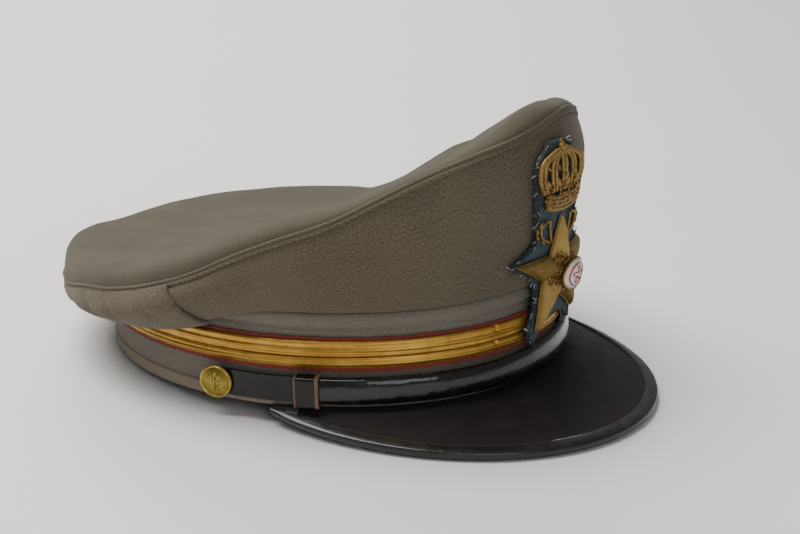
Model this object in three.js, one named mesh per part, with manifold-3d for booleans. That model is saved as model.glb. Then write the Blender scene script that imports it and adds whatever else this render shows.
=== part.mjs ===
// A peaked officer's cap: tall stiff front, soft saddle crown that droops behind, cloth band
// with gold lace, patent chin strap with side buttons, bound leather peak and a stitched badge.
//
// Millimetres. The cap is modelled upright on the plane of its head opening: +Z up, the peak
// towards -Y, the wearer's left towards +X. At the end it is tipped back until the peak's rim
// and the back of the hem stand on z = 0, with the origin under the middle of its box.
import * as THREE from 'three';
import { mergeVertices } from 'three/addons/utils/BufferGeometryUtils.js';
import Module from 'manifold-3d';

const wasm = await Module();
wasm.setup();

// Head opening and cloth band
const HEAD_LENGTH = 194;
const HEAD_WIDTH = 162;
const BAND_WALL = 3;
const BAND_HEIGHT = 39.5;
const BAND_ROLL = 1.2;
const BAND_ROLL_DROP = 3;
const BAND_GROOVE = 0.7;
const BAND_GROOVE_DROP = 6.3;
const QUARTER_PROUD = 0.6;

// Rolled hem under the band
const HEM_HEIGHT = 5.4;
const HEM_PROUD = 0.6;

// Lace: a red strip with a wide and a narrow gold lace on it
const BACKING_FOOT = 15.6;
const BACKING_HEIGHT = 14;
const BACKING_WALL = 0.8;
const BACKING_SHOWN_BELOW = 2.1;
const LOWER_LACE_HEIGHT = 3.9;
const UPPER_LACE_HEIGHT = 6.4;
const LACE_WALL = 0.9;
const LACE_RIDGE = 0.6;

// Chin strap, its keepers and its buttons
const STRAP_FOOT = 3.2;
const STRAP_HEIGHT = 10.6;
const STRAP_WALL = 1.2;
const PAD_WALL = 2.3;
const STRAP_END_ANGLE = 94;
const KEEPER_ANGLE = 66.5;
const KEEPER_WIDTH = 9.5;
const KEEPER_WALL = 0.8;
const BUTTON_ANGLE = 88;
const BUTTON_RADIUS = 6.8;
const BUTTON_DOME = 2.6;
const BUTTON_EDGE = 1.1;
const SHANK_RADIUS = 1.5;

// Leather peak and its binding
const PEAK_LENGTH = 45;
const PEAK_CORNER_ANGLE = 78;
const PEAK_WALL = 2;
const PEAK_ROOT = 0.5;
const PEAK_DROP = 12.8;
const PEAK_CAMBER = 0.1;
const PEAK_SIDE_SPREAD = 0.75;
const BINDING_WIDTH = 5;
const BINDING_WALL = 0.8;

// Crown
const CLOTH = 2;
const CROWN_FRONT = 110;
const OVERHANG = 21;
const RIDGE_RISE = 8;
const RIDGE_INSET = 8;
const CROWN_LEAN = 10.5;
const LEAN_ANGLE = 110;
const DROOP_LEAN = 1.6;
const RIDGE_WIDTH = 3;
const PANEL_SHELF = 4;
const SEAM_GAP = 1;
const SIDE_GAP = 1.3;
const SEAM_TOP_ANGLE = 95;
const SEAM_FOOT_ANGLE = 85;
const WELT_HEIGHT = 3;
const WELT_PROUD = 0.9;

// Badge on the front
const BADGE_FOOT = 16;
const BADGE_HEIGHT = 84;
const BADGE_HALF_WIDTH = 25;
const FELT = 1.5;
const STAR_RADIUS = 25;
const STAR_WAIST = 9;
const STAR_RISE = 6;
const STAR_EDGE = 1;
const STAR_PLACE = 0.34;
const BOSS_RADIUS = 7.5;
const BOSS_RISE = 3.2;
const BOSS_EDGE = 0.6;
const CORD_RADIUS = 1.1;
const BADGE_SEAT = 0.45;
const BADGE_LEAN = 11;

// Clearance between pieces that touch
const FIT = 0.3;

// Sections of the crown from the front, 0 degrees, round to the back. Lengths are shares:
// seamOut and bellyOut of OVERHANG beyond the band, seamHigh and bellyHigh of CROWN_FRONT
// above the hem, footOut of the belly's reach, droop of BAND_HEIGHT below the band's top,
// rise of RIDGE_RISE over the seam and inset of RIDGE_INSET behind it.
const CROWN_SECTIONS = [
  {
    angle: 0, seamOut: 0.5, seamHigh: 0.99, bellyOut: 0.56, bellyHigh: 0.84,
    footOut: 0.1, droop: 0, rise: 0.6, inset: 0.8,
  },
  {
    angle: 15, seamOut: 0.5, seamHigh: 0.945, bellyOut: 0.54, bellyHigh: 0.8,
    footOut: 0.1, droop: 0, rise: 0.5, inset: 0.85,
  },
  {
    angle: 30, seamOut: 0.5, seamHigh: 0.88, bellyOut: 0.52, bellyHigh: 0.73,
    footOut: 0.12, droop: 0, rise: 0.55, inset: 0.9,
  },
  {
    angle: 60, seamOut: 0.52, seamHigh: 0.72, bellyOut: 0.52, bellyHigh: 0.57,
    footOut: 0.15, droop: 0.03, rise: 0.65, inset: 1.1,
  },
  {
    angle: 78, seamOut: 0.58, seamHigh: 0.605, bellyOut: 0.6, bellyHigh: 0.5,
    footOut: 0.25, droop: 0.06, rise: 0.75, inset: 1.4,
  },
  {
    angle: 95, seamOut: 0.7, seamHigh: 0.46, bellyOut: 0.8, bellyHigh: 0.38,
    footOut: 0.45, droop: 0.28, rise: 1.1, inset: 1.6,
  },
  {
    angle: 115, seamOut: 0.86, seamHigh: 0.355, bellyOut: 0.95, bellyHigh: 0.28,
    footOut: 0.55, droop: 0.38, rise: 1.25, inset: 1.2,
  },
  {
    angle: 145, seamOut: 0.95, seamHigh: 0.31, bellyOut: 0.94, bellyHigh: 0.26,
    footOut: 0.5, droop: 0.31, rise: 1.2, inset: 0.3,
  },
  {
    angle: 180, seamOut: 0.93, seamHigh: 0.305, bellyOut: 0.93, bellyHigh: 0.255,
    footOut: 0.5, droop: 0.34, rise: 0.7, inset: 0.3,
  },
];

// Height of the crown's sunken middle along its length, from -1 at the front seam to 1 at the
// back seam, as a share of the way from where it lies on the band up to CROWN_FRONT.
const CROWN_MIDDLE = [
  { along: -1, high: 1.0 },
  { along: -0.8, high: 0.66 },
  { along: -0.6, high: 0.38 },
  { along: -0.2, high: 0.14 },
  { along: 0.3, high: 0.05 },
  { along: 0.7, high: 0.02 },
  { along: 1, high: 0 },
];

// Half width of the badge's felt from foot to top, as shares of BADGE_HEIGHT and
// BADGE_HALF_WIDTH.
const FELT_OUTLINE = [
  { high: 0, wide: 0.62 },
  { high: 0.07, wide: 0.72 },
  { high: 0.17, wide: 0.52 },
  { high: 0.28, wide: 0.66 },
  { high: 0.345, wide: 1.04 },
  { high: 0.41, wide: 0.9 },
  { high: 0.48, wide: 0.6 },
  { high: 0.64, wide: 0.6 },
  { high: 0.84, wide: 0.66 },
  { high: 0.96, wide: 0.58 },
  { high: 1, wide: 0.44 },
];

const CLOTH_GREEN = 0x847a68;
const BAND_GREY = 0x77746c;
const LACE_GOLD = 0xb58a2e;
const PIPING_RED = 0x8a3328;
const PATENT_BLACK = 0x141416;
const PEAK_BLACK = 0x242426;
const FELT_BLUE = 0x4c5f68;
const BULLION_GOLD = 0x9a7630;
const ENAMEL_WHITE = 0xe8e2d8;

const RING_STEPS = 44;
const CROWN_STEPS = 52;
const QUARTER_SAMPLES = 48;
const FULL_TURN = 2 * Math.PI;
const rad = THREE.MathUtils.degToRad;
const lerp = THREE.MathUtils.lerp;
const clamp = THREE.MathUtils.clamp;

const halfLength = HEAD_LENGTH / 2 + BAND_WALL;
const halfWidth = HEAD_WIDTH / 2 + BAND_WALL;

// The top panel lies at least this high, over the band and the quarters' turned-in foot.
const panelRest = BAND_HEIGHT + 2 * (FIT + CLOTH) + 1;

// Reads a column of a table at a place in its first column, smoothly and level at both ends.
function tableAt(table, key, column, place) {
  const at = clamp(place, table[0][key], table[table.length - 1][key]);
  let i = 0;
  while (i < table.length - 2 && table[i + 1][key] < at) i += 1;
  const span = table[i + 1][key] - table[i][key];
  const slope = (k) => (k <= 0 || k >= table.length - 1 ? 0
    : (table[k + 1][column] - table[k - 1][column]) / (table[k + 1][key] - table[k - 1][key]));
  const t = (at - table[i][key]) / span;
  const rest = 1 - t;
  return (1 + 2 * t) * rest * rest * table[i][column] + t * rest * rest * span * slope(i)
    + t * t * (3 - 2 * t) * table[i + 1][column] - t * t * rest * span * slope(i + 1);
}

// Outward direction of the band's ellipse at an angle from the front.
function bandNormal(angle) {
  return new THREE.Vector3(Math.sin(angle) / halfWidth, -Math.cos(angle) / halfLength, 0).normalize();
}

// Point `out` beyond the band's cloth, at height `high` above the hem's foot.
function onBand(angle, out, high) {
  const normal = bandNormal(angle);
  return new THREE.Vector3(
    halfWidth * Math.sin(angle) + normal.x * out,
    -halfLength * Math.cos(angle) + normal.y * out,
    high,
  );
}

// Direction along the band, from the front towards the wearer's left.
function bandTangent(angle) {
  const normal = bandNormal(angle);
  return new THREE.Vector3(-normal.y, normal.x, 0);
}

// Closed mesh from triangles, with its faces turned outwards and slivers dropped.
function closedMesh(points, triangles) {
  const raw = new THREE.BufferGeometry();
  const places = points.flatMap((p) => [p.x, p.y, p.z]);
  raw.setAttribute('position', new THREE.Float32BufferAttribute(places, 3));
  raw.setIndex(triangles.flat());
  const merged = mergeVertices(raw, 1e-4);
  const index = Array.from(merged.index.array);
  const place = merged.attributes.position;
  const kept = [];
  let volume = 0;
  const [a, b, c] = [new THREE.Vector3(), new THREE.Vector3(), new THREE.Vector3()];
  for (let i = 0; i < index.length; i += 3) {
    const [p, q, r] = [index[i], index[i + 1], index[i + 2]];
    if (p === q || q === r || r === p) continue;
    kept.push(p, q, r);
    a.fromBufferAttribute(place, p);
    b.fromBufferAttribute(place, q);
    c.fromBufferAttribute(place, r);
    volume += a.dot(b.cross(c));
  }
  if (volume < 0) kept.reverse();
  merged.setIndex(kept);
  merged.computeVertexNormals();
  return merged;
}

// Solid through loops of equal length. Each loop runs along one face and back along the
// other, so an open end is capped by a ladder between the two.
function loft(loops, closed) {
  const size = loops[0].length;
  const triangles = [];
  const quad = (p, q, r, s) => triangles.push([p, q, r], [p, r, s]);
  const spans = closed ? loops.length : loops.length - 1;
  for (let i = 0; i < spans; i += 1) {
    const near = i * size;
    const far = ((i + 1) % loops.length) * size;
    for (let k = 0; k < size; k += 1) {
      const next = (k + 1) % size;
      quad(near + k, near + next, far + next, far + k);
    }
  }
  if (!closed) {
    const last = (loops.length - 1) * size;
    for (let k = 0; k < size / 2 - 1; k += 1) {
      quad(size - 1 - k, size - 2 - k, k + 1, k);
      quad(last + k, last + k + 1, last + size - 2 - k, last + size - 1 - k);
    }
  }
  return closedMesh(loops.flat(), triangles);
}

// Hoop round the whole band from a closed profile of [out, high] pairs.
function hoop(profile) {
  const loops = [];
  for (let i = 0; i < RING_STEPS; i += 1) {
    const angle = (i / RING_STEPS) * FULL_TURN;
    loops.push(profile.map(([out, high]) => onBand(angle, out, high)));
  }
  return loft(loops, true);
}

// Strip round part of the band from a profile that may change with the angle.
function strip(profileAt, from, to, steps) {
  const loops = [];
  for (let i = 0; i <= steps; i += 1) {
    const angle = lerp(from, to, i / steps);
    loops.push(profileAt(angle).map(([out, high]) => onBand(angle, out, high)));
  }
  return loft(loops, false);
}

// Sheet of cloth `wall` thick behind a grid of points on its outer face. Rows run round the
// cap. A closed sheet joins its last row to the first, and all its rows end at one point. An
// open sheet has a spare row at each end, which only gives the edges their true directions.
// Column `seamColumn` is cut square to the welt, along `seamOuts`.
function cloth(rows, wall, closed, seamColumn, seamOuts) {
  const across = rows[0].length;
  const outer = new THREE.BufferGeometry();
  const places = rows.flat().flatMap((p) => [p.x, p.y, p.z]);
  outer.setAttribute('position', new THREE.Float32BufferAttribute(places, 3));
  const index = [];
  const spans = closed ? rows.length : rows.length - 1;
  for (let i = 0; i < spans; i += 1) {
    const next = (i + 1) % rows.length;
    for (let j = 0; j < across - 1; j += 1) {
      const [p, q, r, s] = [i * across + j, i * across + j + 1, next * across + j + 1, next * across + j];
      index.push(p, s, r, p, r, q);
    }
  }
  outer.setIndex(index);
  outer.computeVertexNormals();
  const normals = outer.attributes.normal;
  const inner = rows.map((row, i) => row.map((p, j) => {
    const normal = new THREE.Vector3().fromBufferAttribute(normals, i * across + j);
    return p.clone().addScaledVector(j === seamColumn ? seamOuts[i] : normal, -wall);
  }));
  const loops = rows.map((row, i) => [...row, ...inner[i].slice().reverse()]);
  if (!closed) return loft(loops.slice(1, -1), false);
  const middle = new THREE.Vector3();
  inner.forEach((row) => middle.addScaledVector(row[across - 1], 1 / rows.length));
  loops.forEach((loop) => loop[across].copy(middle));
  return loft(loops, true);
}

function toSolid(geometry) {
  const bare = new THREE.BufferGeometry();
  bare.setAttribute('position', geometry.attributes.position.clone());
  if (geometry.index) bare.setIndex(geometry.index.clone());
  const merged = mergeVertices(bare, 1e-4);
  return new wasm.Manifold(new wasm.Mesh({
    numProp: 3,
    vertProperties: new Float32Array(merged.attributes.position.array),
    triVerts: new Uint32Array(merged.index.array),
  }));
}

function fromSolid(solid) {
  const mesh = solid.getMesh();
  const geometry = new THREE.BufferGeometry();
  geometry.setAttribute('position', new THREE.BufferAttribute(new Float32Array(mesh.vertProperties), 3));
  geometry.setIndex(new THREE.BufferAttribute(new Uint32Array(mesh.triVerts), 1));
  geometry.computeVertexNormals();
  return geometry;
}

function joined(geometries) {
  return fromSolid(geometries.map(toSolid).reduce((whole, piece) => whole.add(piece)));
}

// Places a shape made round +Z so that its axis points straight out of the band.
function facingOut(geometry, angle, out, high) {
  const normal = bandNormal(angle);
  const turn = new THREE.Quaternion().setFromUnitVectors(new THREE.Vector3(0, 0, 1), normal);
  geometry.applyQuaternion(turn);
  const place = onBand(angle, out, high);
  return geometry.translate(place.x, place.y, place.z);
}

// The cloth band stands on the hem and ends in a soft roll under the crown.
function band() {
  const foot = HEM_HEIGHT + FIT;
  return hoop([
    [0, foot],
    [0, BAND_HEIGHT - BAND_GROOVE_DROP - 2],
    [-BAND_GROOVE, BAND_HEIGHT - BAND_GROOVE_DROP],
    [BAND_ROLL * 0.7, BAND_HEIGHT - BAND_ROLL_DROP - 2],
    [BAND_ROLL, BAND_HEIGHT - BAND_ROLL_DROP],
    [BAND_ROLL * 0.6, BAND_HEIGHT - 1],
    [-0.4, BAND_HEIGHT],
    [-BAND_WALL, BAND_HEIGHT],
    [-BAND_WALL, foot],
  ]);
}

function hem() {
  return hoop([
    [-BAND_WALL, 0],
    [0, 0],
    [HEM_PROUD, 1],
    [HEM_PROUD, HEM_HEIGHT - 1],
    [0, HEM_HEIGHT],
    [-BAND_WALL, HEM_HEIGHT],
  ]);
}

function laceBacking() {
  const top = BACKING_FOOT + BACKING_HEIGHT;
  const face = FIT + BACKING_WALL;
  return hoop([[FIT, BACKING_FOOT], [face, BACKING_FOOT], [face, top], [FIT, top]]);
}

// Gold lace with a raised rib along its middle.
function lace(foot, height, ridge) {
  const back = FIT + BACKING_WALL + FIT;
  const face = back + LACE_WALL;
  const middle = foot + height / 2;
  return hoop([
    [back, foot],
    [face, foot],
    [face, middle - height / 8],
    [face + ridge, middle],
    [face, middle + height / 8],
    [face, foot + height],
    [back, foot + height],
  ]);
}

// Outward places of the two straps and the keeper round them.
const laceFace = FIT + BACKING_WALL + FIT + LACE_WALL + LACE_RIDGE;
const strapBack = HEM_PROUD + FIT + KEEPER_WALL + FIT;
const strapFace = strapBack + STRAP_WALL;
const padBack = strapFace + FIT;
const padFace = padBack + PAD_WALL;

// Flat strap from button to button, with a round tip and a hole for the shank at each end.
function strap() {
  const top = STRAP_FOOT + STRAP_HEIGHT;
  const end = rad(STRAP_END_ANGLE);
  const middle = (STRAP_FOOT + top) / 2;
  const roundTip = (angle) => {
    const left = (end - Math.abs(angle)) * halfLength;
    const share = clamp(left / (STRAP_HEIGHT / 2), 0, 1);
    const half = (STRAP_HEIGHT / 2) * Math.max(0.35, Math.sqrt(1 - (1 - share) ** 2));
    return [
      [strapBack, middle - half],
      [strapFace, middle - half],
      [strapFace, middle],
      [strapFace, middle + half],
      [strapBack, middle + half],
      [strapBack, middle],
    ];
  };
  const body = strip(roundTip, -end, end, 56);
  const bore = SHANK_RADIUS + FIT;
  const holes = [-1, 1].map((side) => facingOut(
    new THREE.CylinderGeometry(bore, bore, 8 * STRAP_WALL, 16).rotateX(Math.PI / 2),
    side * rad(BUTTON_ANGLE),
    strapBack,
    middle,
  ));
  return fromSolid(holes.map(toSolid).reduce((whole, hole) => whole.subtract(hole), toSolid(body)));
}

// Padded patent strap across the front, from keeper to keeper.
function frontStrap() {
  const reach = rad(KEEPER_ANGLE) - KEEPER_WIDTH / 2 / halfLength;
  const top = STRAP_FOOT + STRAP_HEIGHT;
  const round = (share) => padBack + PAD_WALL * share;
  return strip(() => [
    [padBack, STRAP_FOOT],
    [round(0.45), STRAP_FOOT],
    [round(0.9), STRAP_FOOT + STRAP_HEIGHT * 0.22],
    [round(1), STRAP_FOOT + STRAP_HEIGHT * 0.5],
    [round(0.9), top - STRAP_HEIGHT * 0.22],
    [round(0.45), top],
    [padBack, top],
    [padBack, STRAP_FOOT + STRAP_HEIGHT * 0.5],
  ], -reach - rad(4), reach + rad(4), 36);
}

// Leather loop round both straps.
function keeper(side) {
  const foot = STRAP_FOOT - FIT;
  const top = STRAP_FOOT + STRAP_HEIGHT + FIT;
  const back = strapBack - FIT;
  const face = padFace + FIT;
  const hollow = [[back, foot], [face, foot], [face, top], [back, top]];
  const grown = [
    [back - KEEPER_WALL, foot - KEEPER_WALL],
    [face + KEEPER_WALL, foot - KEEPER_WALL],
    [face + KEEPER_WALL, top + KEEPER_WALL],
    [back - KEEPER_WALL, top + KEEPER_WALL],
  ];
  const half = KEEPER_WIDTH / 2 / halfLength;
  const middle = side * rad(KEEPER_ANGLE);
  const block = (profile, spread) => (
    strip(() => profile, middle - half * spread, middle + half * spread, 4));
  return fromSolid(toSolid(block(grown, 1)).subtract(toSolid(block(hollow, 1.5))));
}

// Gilt button: domed face with a raised rim, on a shank through the strap to the band.
function button(side) {
  const back = strapFace + FIT;
  const inner = BUTTON_RADIUS - BUTTON_EDGE;
  const outline = [[0, FIT - back], [SHANK_RADIUS, FIT - back], [SHANK_RADIUS, 0]];
  outline.push([BUTTON_RADIUS - 0.5, 0], [BUTTON_RADIUS, 0.6], [BUTTON_RADIUS - 0.3, 1.5], [inner, 1.2]);
  for (let i = 1; i <= 4; i += 1) {
    const share = i / 4;
    outline.push([inner * (1 - share), 1.2 + (BUTTON_DOME - 1.2) * Math.sin((share * Math.PI) / 2)]);
  }
  const profile = outline.map(([r, z]) => new THREE.Vector2(r, z));
  const turned = new THREE.LatheGeometry(profile, 18).rotateX(Math.PI / 2);
  return facingOut(solidOf(turned), side * rad(BUTTON_ANGLE), back, STRAP_FOOT + STRAP_HEIGHT / 2);
}

// Welds a three.js shape that has doubled seams and poles into one closed mesh.
function solidOf(geometry) {
  const place = geometry.attributes.position;
  const points = Array.from({ length: place.count }, (_, i) => (
    new THREE.Vector3().fromBufferAttribute(place, i)));
  const flat = geometry.index ? Array.from(geometry.index.array) : points.map((_, i) => i);
  const triangles = [];
  for (let i = 0; i < flat.length; i += 3) triangles.push([flat[i], flat[i + 1], flat[i + 2]]);
  return closedMesh(points, triangles);
}

// How far the peak reaches past the band, and how low it hangs there, at a share of the
// way from its middle to a corner.
function peakReach(share) {
  return PEAK_LENGTH * Math.max(0, Math.cos((share * Math.PI) / 2));
}

function peakDrop(share) {
  return PEAK_DROP * Math.max(0, Math.cos((share * Math.PI) / 2)) ** 0.62;
}

// Middle surface of the peak: `along` from -1 to 1 between the corners, `across` from 0 at
// the band to 1 at the rim.
function onPeak(along, across) {
  const angle = along * rad(PEAK_CORNER_ANGLE);
  const root = onBand(angle, HEM_PROUD + FIT, PEAK_ROOT);
  const normal = bandNormal(angle);
  const reach = peakReach(along) * across;
  return root.add(new THREE.Vector3(
    normal.x * reach * PEAK_SIDE_SPREAD,
    normal.y * reach,
    -peakDrop(along) * (across + PEAK_CAMBER * across * (1 - across)),
  ));
}

// Directions at a place on the peak: outwards along the leather, and up through it.
function peakFrame(along, across) {
  const step = 0.02;
  const out = onPeak(along, across).sub(onPeak(along, across - step)).normalize();
  const left = onPeak(Math.min(along + step, 1), across);
  const right = onPeak(Math.max(along - step, -1), across);
  const side = left.sub(right).normalize();
  const up = side.cross(out).normalize();
  if (up.z < 0) up.negate();
  return { out, up };
}

const PEAK_END = 0.965;
const PEAK_STEPS = 28;

function peak() {
  const across = [0, 0.3, 0.6, 1 - BINDING_WIDTH / PEAK_LENGTH, 1];
  const loops = [];
  for (let i = 0; i <= PEAK_STEPS; i += 1) {
    const along = lerp(-PEAK_END, PEAK_END, i / PEAK_STEPS);
    const face = (side) => across.map((share) => {
      const { up } = peakFrame(along, share);
      return onPeak(along, share).addScaledVector(up, (side * PEAK_WALL) / 2);
    });
    loops.push([...face(1), ...face(-1).reverse()]);
  }
  return loft(loops, false);
}

// Strip of leather folded over the peak's rim.
function peakBinding() {
  const pocket = PEAK_WALL / 2 + 2 * FIT;
  const skin = pocket + BINDING_WALL;
  const loops = [];
  for (let i = 0; i <= PEAK_STEPS; i += 1) {
    const along = lerp(-PEAK_END, PEAK_END, i / PEAK_STEPS);
    const rim = onPeak(along, 1);
    const { out, up } = peakFrame(along, 1);
    const width = Math.min(BINDING_WIDTH, peakReach(along) * 0.55);
    const section = [
      [-width, skin], [-0.2, skin], [FIT + BINDING_WALL, 0],
      [-0.2, -skin], [-width, -skin], [-width, -pocket],
      [FIT, -pocket], [FIT, 0], [FIT, pocket], [-width, pocket],
    ];
    loops.push(section.map(([o, u]) => rim.clone().addScaledVector(out, o).addScaledVector(up, u)));
  }
  return loft(loops, false);
}

// Reads the crown's sections at an angle of the band. Both sides of the crown are alike.
function crownAt(angle, column) {
  const fromFront = THREE.MathUtils.radToDeg(Math.acos(Math.cos(angle)));
  return tableAt(CROWN_SECTIONS, 'angle', column, fromFront);
}

// How far this worn cap's crown has sunk, which is most on the wearer's left and behind.
function lean(angle) {
  return CROWN_LEAN * Math.max(0, Math.cos(angle - rad(LEAN_ANGLE)));
}

// Height above the hem that a column of the sections gives.
function crownHigh(angle, column) {
  return crownAt(angle, column) * CROWN_FRONT - lean(angle);
}

// Where the crown's top panel and quarters meet.
function crownSeam(angle) {
  const read = (column) => crownAt(angle, column);
  return onBand(angle, read('seamOut') * OVERHANG, crownHigh(angle, 'seamHigh'));
}

// Outline of a quarter at an angle, from the band's top out and up to the seam.
function quarterCurve(angle) {
  const read = (column) => crownAt(angle, column);
  const foot = BAND_HEIGHT + FIT;
  const droop = read('droop') * (BAND_HEIGHT + DROOP_LEAN * lean(angle));
  const belly = read('bellyOut') * OVERHANG;
  const edge = BAND_ROLL + QUARTER_PROUD;
  return new THREE.CatmullRomCurve3([
    onBand(angle, -BAND_WALL, foot),
    onBand(angle, edge, foot),
    onBand(angle, lerp(edge, belly, read('footOut')), foot + CLOTH - droop),
    onBand(angle, belly, crownHigh(angle, 'bellyHigh')),
    crownSeam(angle),
  ], false, 'centripetal');
}

// Outline of the top panel at an angle, from the seam over the ridge to the crown's middle.
function panelCurve(angle) {
  const rise = crownAt(angle, 'rise') * RIDGE_RISE;
  const inset = crownAt(angle, 'inset') * RIDGE_INSET;
  const seam = crownSeam(angle);
  const front = crownSeam(0).y;
  const back = crownSeam(Math.PI).y;
  const toMiddle = new THREE.Vector3(-seam.x, (front + back) / 2 - seam.y, 0);
  const span = toMiddle.length();
  const bandEdge = crownAt(angle, 'seamOut') * OVERHANG + BAND_WALL;
  const inwards = (distance) => seam.clone().addScaledVector(toMiddle, distance / span);
  const sunk = (distance, depth) => {
    const point = inwards(distance);
    const place = (2 * (point.y - front)) / (back - front) - 1;
    const middle = panelRest + tableAt(CROWN_MIDDLE, 'along', 'high', place) * (CROWN_FRONT - panelRest);
    return point.setZ(Math.max(panelRest, lerp(seam.z + rise, middle, depth)));
  };
  return new THREE.CatmullRomCurve3([
    seam,
    inwards(inset * 0.15).setZ(seam.z + rise * 0.6),
    inwards(inset).setZ(seam.z + rise),
    sunk(Math.max(inset + RIDGE_WIDTH, bandEdge - BAND_WALL - PANEL_SHELF), 0.12),
    sunk(lerp(bandEdge, span, 0.3), 0.55),
    sunk(lerp(bandEdge, span, 0.62), 0.9),
    sunk(span, 1),
  ], false, 'centripetal');
}

// Point of a curve at a share of its length, with `trimmed` left off its start or end.
function along(curve, share, trimStart, trimEnd) {
  const length = curve.getLength();
  return curve.getPointAt(lerp(trimStart / length, 1 - trimEnd / length, share));
}

const weltEdge = WELT_HEIGHT / 2 + SEAM_GAP / 2;

// Side seam between the front and back quarters leans forward on its way down.
function sideSeam(share) {
  return rad(lerp(SEAM_FOOT_ANGLE, SEAM_TOP_ANGLE, share));
}

// Directions at the crown's seam: up across the welt, and straight out of it.
function seamFrame(angle) {
  const below = along(quarterCurve(angle), 1, 0, weltEdge);
  const above = along(panelCurve(angle), 0, weltEdge, 0);
  const up = above.sub(below).normalize();
  const out = bandTangent(angle).cross(up).normalize();
  if (out.dot(bandNormal(angle)) < 0) out.negate();
  return { up, out };
}

function quarter(from, to, steps) {
  const across = 8;
  const rows = [];
  const seamOuts = [];
  for (let i = -1; i <= steps + 1; i += 1) {
    const row = [];
    for (let j = 0; j <= across; j += 1) {
      const share = j / across;
      const angle = lerp(from(share), to(share), i / steps);
      row.push(along(quarterCurve(angle), share, 0, weltEdge));
    }
    rows.push(row);
    seamOuts.push(seamFrame(lerp(from(1), to(1), i / steps)).out);
  }
  return cloth(rows, CLOTH, false, across, seamOuts);
}

function crownTop() {
  const shares = [0, 0.03, 0.08, 0.16, 0.26, 0.4, 0.58, 0.78, 1];
  const rows = [];
  const seamOuts = [];
  for (let i = 0; i < CROWN_STEPS; i += 1) {
    const angle = (i / CROWN_STEPS) * FULL_TURN;
    const curve = panelCurve(angle);
    rows.push(shares.map((share) => along(curve, share, weltEdge, 0)));
    seamOuts.push(seamFrame(angle).out);
  }
  return cloth(rows, CLOTH, true, 0, seamOuts);
}

// Folded cloth welt lying in the seam between top panel and quarters.
function crownWelt() {
  const half = WELT_HEIGHT / 2;
  const section = [
    [-CLOTH, -half], [0, -half], [WELT_PROUD, -half * 0.5],
    [WELT_PROUD, half * 0.5], [0, half], [-CLOTH, half],
  ];
  const loops = [];
  for (let i = 0; i < CROWN_STEPS; i += 1) {
    const angle = (i / CROWN_STEPS) * FULL_TURN;
    const { up, out } = seamFrame(angle);
    loops.push(section.map(([o, u]) => crownSeam(angle).addScaledVector(out, o).addScaledVector(up, u)));
  }
  return loft(loops, true);
}

// How far the front quarter stands beyond the band at an angle and a height.
function quarterOut(angle, high) {
  const places = quarterCurve(angle).getPoints(QUARTER_SAMPLES);
  const next = Math.max(1, places.findIndex((place) => place.z >= high));
  const [low, top] = [places[next - 1], places[next]];
  const share = clamp((high - low.z) / (top.z - low.z), 0, 1);
  return low.clone().lerp(top, share).sub(onBand(angle, 0, high)).dot(bandNormal(angle));
}

// Point on the badge: `side` along the front, `high` above the badge's foot, `proud` in
// front of the cloth or lace that carries it.
function onBadge(side, high, proud) {
  const angle = (side + BADGE_LEAN * (STAR_PLACE - high / BADGE_HEIGHT)) / halfWidth;
  const place = BADGE_FOOT + high;
  const cover = place < BAND_HEIGHT + CLOTH ? laceFace : Math.max(laceFace, quarterOut(angle, place));
  return onBand(angle, cover + FIT + BADGE_SEAT + proud, place);
}

// Felt ground of the badge, cut to the outline of the embroidery.
function badgeFelt() {
  const steps = 22;
  const across = 4;
  const loops = [];
  for (let i = 0; i <= steps; i += 1) {
    const high = i / steps;
    const half = tableAt(FELT_OUTLINE, 'high', 'wide', high) * BADGE_HALF_WIDTH;
    const face = (proud) => Array.from({ length: across + 1 }, (_, j) => (
      onBadge(lerp(-half, half, j / across), high * BADGE_HEIGHT, proud)));
    loops.push([...face(FELT), ...face(0).reverse()]);
  }
  return loft(loops, false);
}

const starHigh = BADGE_HEIGHT * STAR_PLACE;

// Five-pointed star, a cone over its outline, bent to the front of the cap.
function badgeStar() {
  const rays = 20;
  const rings = 3;
  const corner = (k) => {
    const radius = k % 2 === 0 ? STAR_RADIUS : STAR_WAIST;
    const turn = (k * Math.PI) / 5;
    return new THREE.Vector2(Math.sin(turn), Math.cos(turn)).multiplyScalar(radius);
  };
  const loops = [];
  const base = FELT + FIT + BADGE_SEAT;
  for (let ray = 0; ray < rays; ray += 1) {
    const place = ray / 2;
    const { x, y: z } = corner(Math.floor(place)).lerp(corner(Math.floor(place) + 1), place % 1);
    const face = (height) => Array.from({ length: rings + 1 }, (_, i) => {
      const share = 1 - i / rings;
      return onBadge(x * share, starHigh + z * share, base + height(share));
    });
    loops.push([...face((share) => STAR_EDGE + STAR_RISE * (1 - share)), ...face(() => 0).reverse()]);
  }
  return loft(loops, true);
}

// White domed boss on the middle of the star.
function badgeDisc(radius, foot, rise, dome) {
  const rays = 16;
  const rings = 3;
  const loops = [];
  for (let ray = 0; ray < rays; ray += 1) {
    const from = (ray / rays) * FULL_TURN;
    const place = (share, proud) => onBadge(
      Math.sin(from) * radius * share,
      starHigh + Math.cos(from) * radius * share,
      proud,
    );
    const face = (proud) => Array.from({ length: rings + 1 }, (_, i) => (
      place(1 - i / rings, proud(1 - i / rings))));
    const top = face((share) => foot + rise + dome * (1 - share * share));
    loops.push([...top, ...face(() => foot).reverse()]);
  }
  return loft(loops, true);
}

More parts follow.
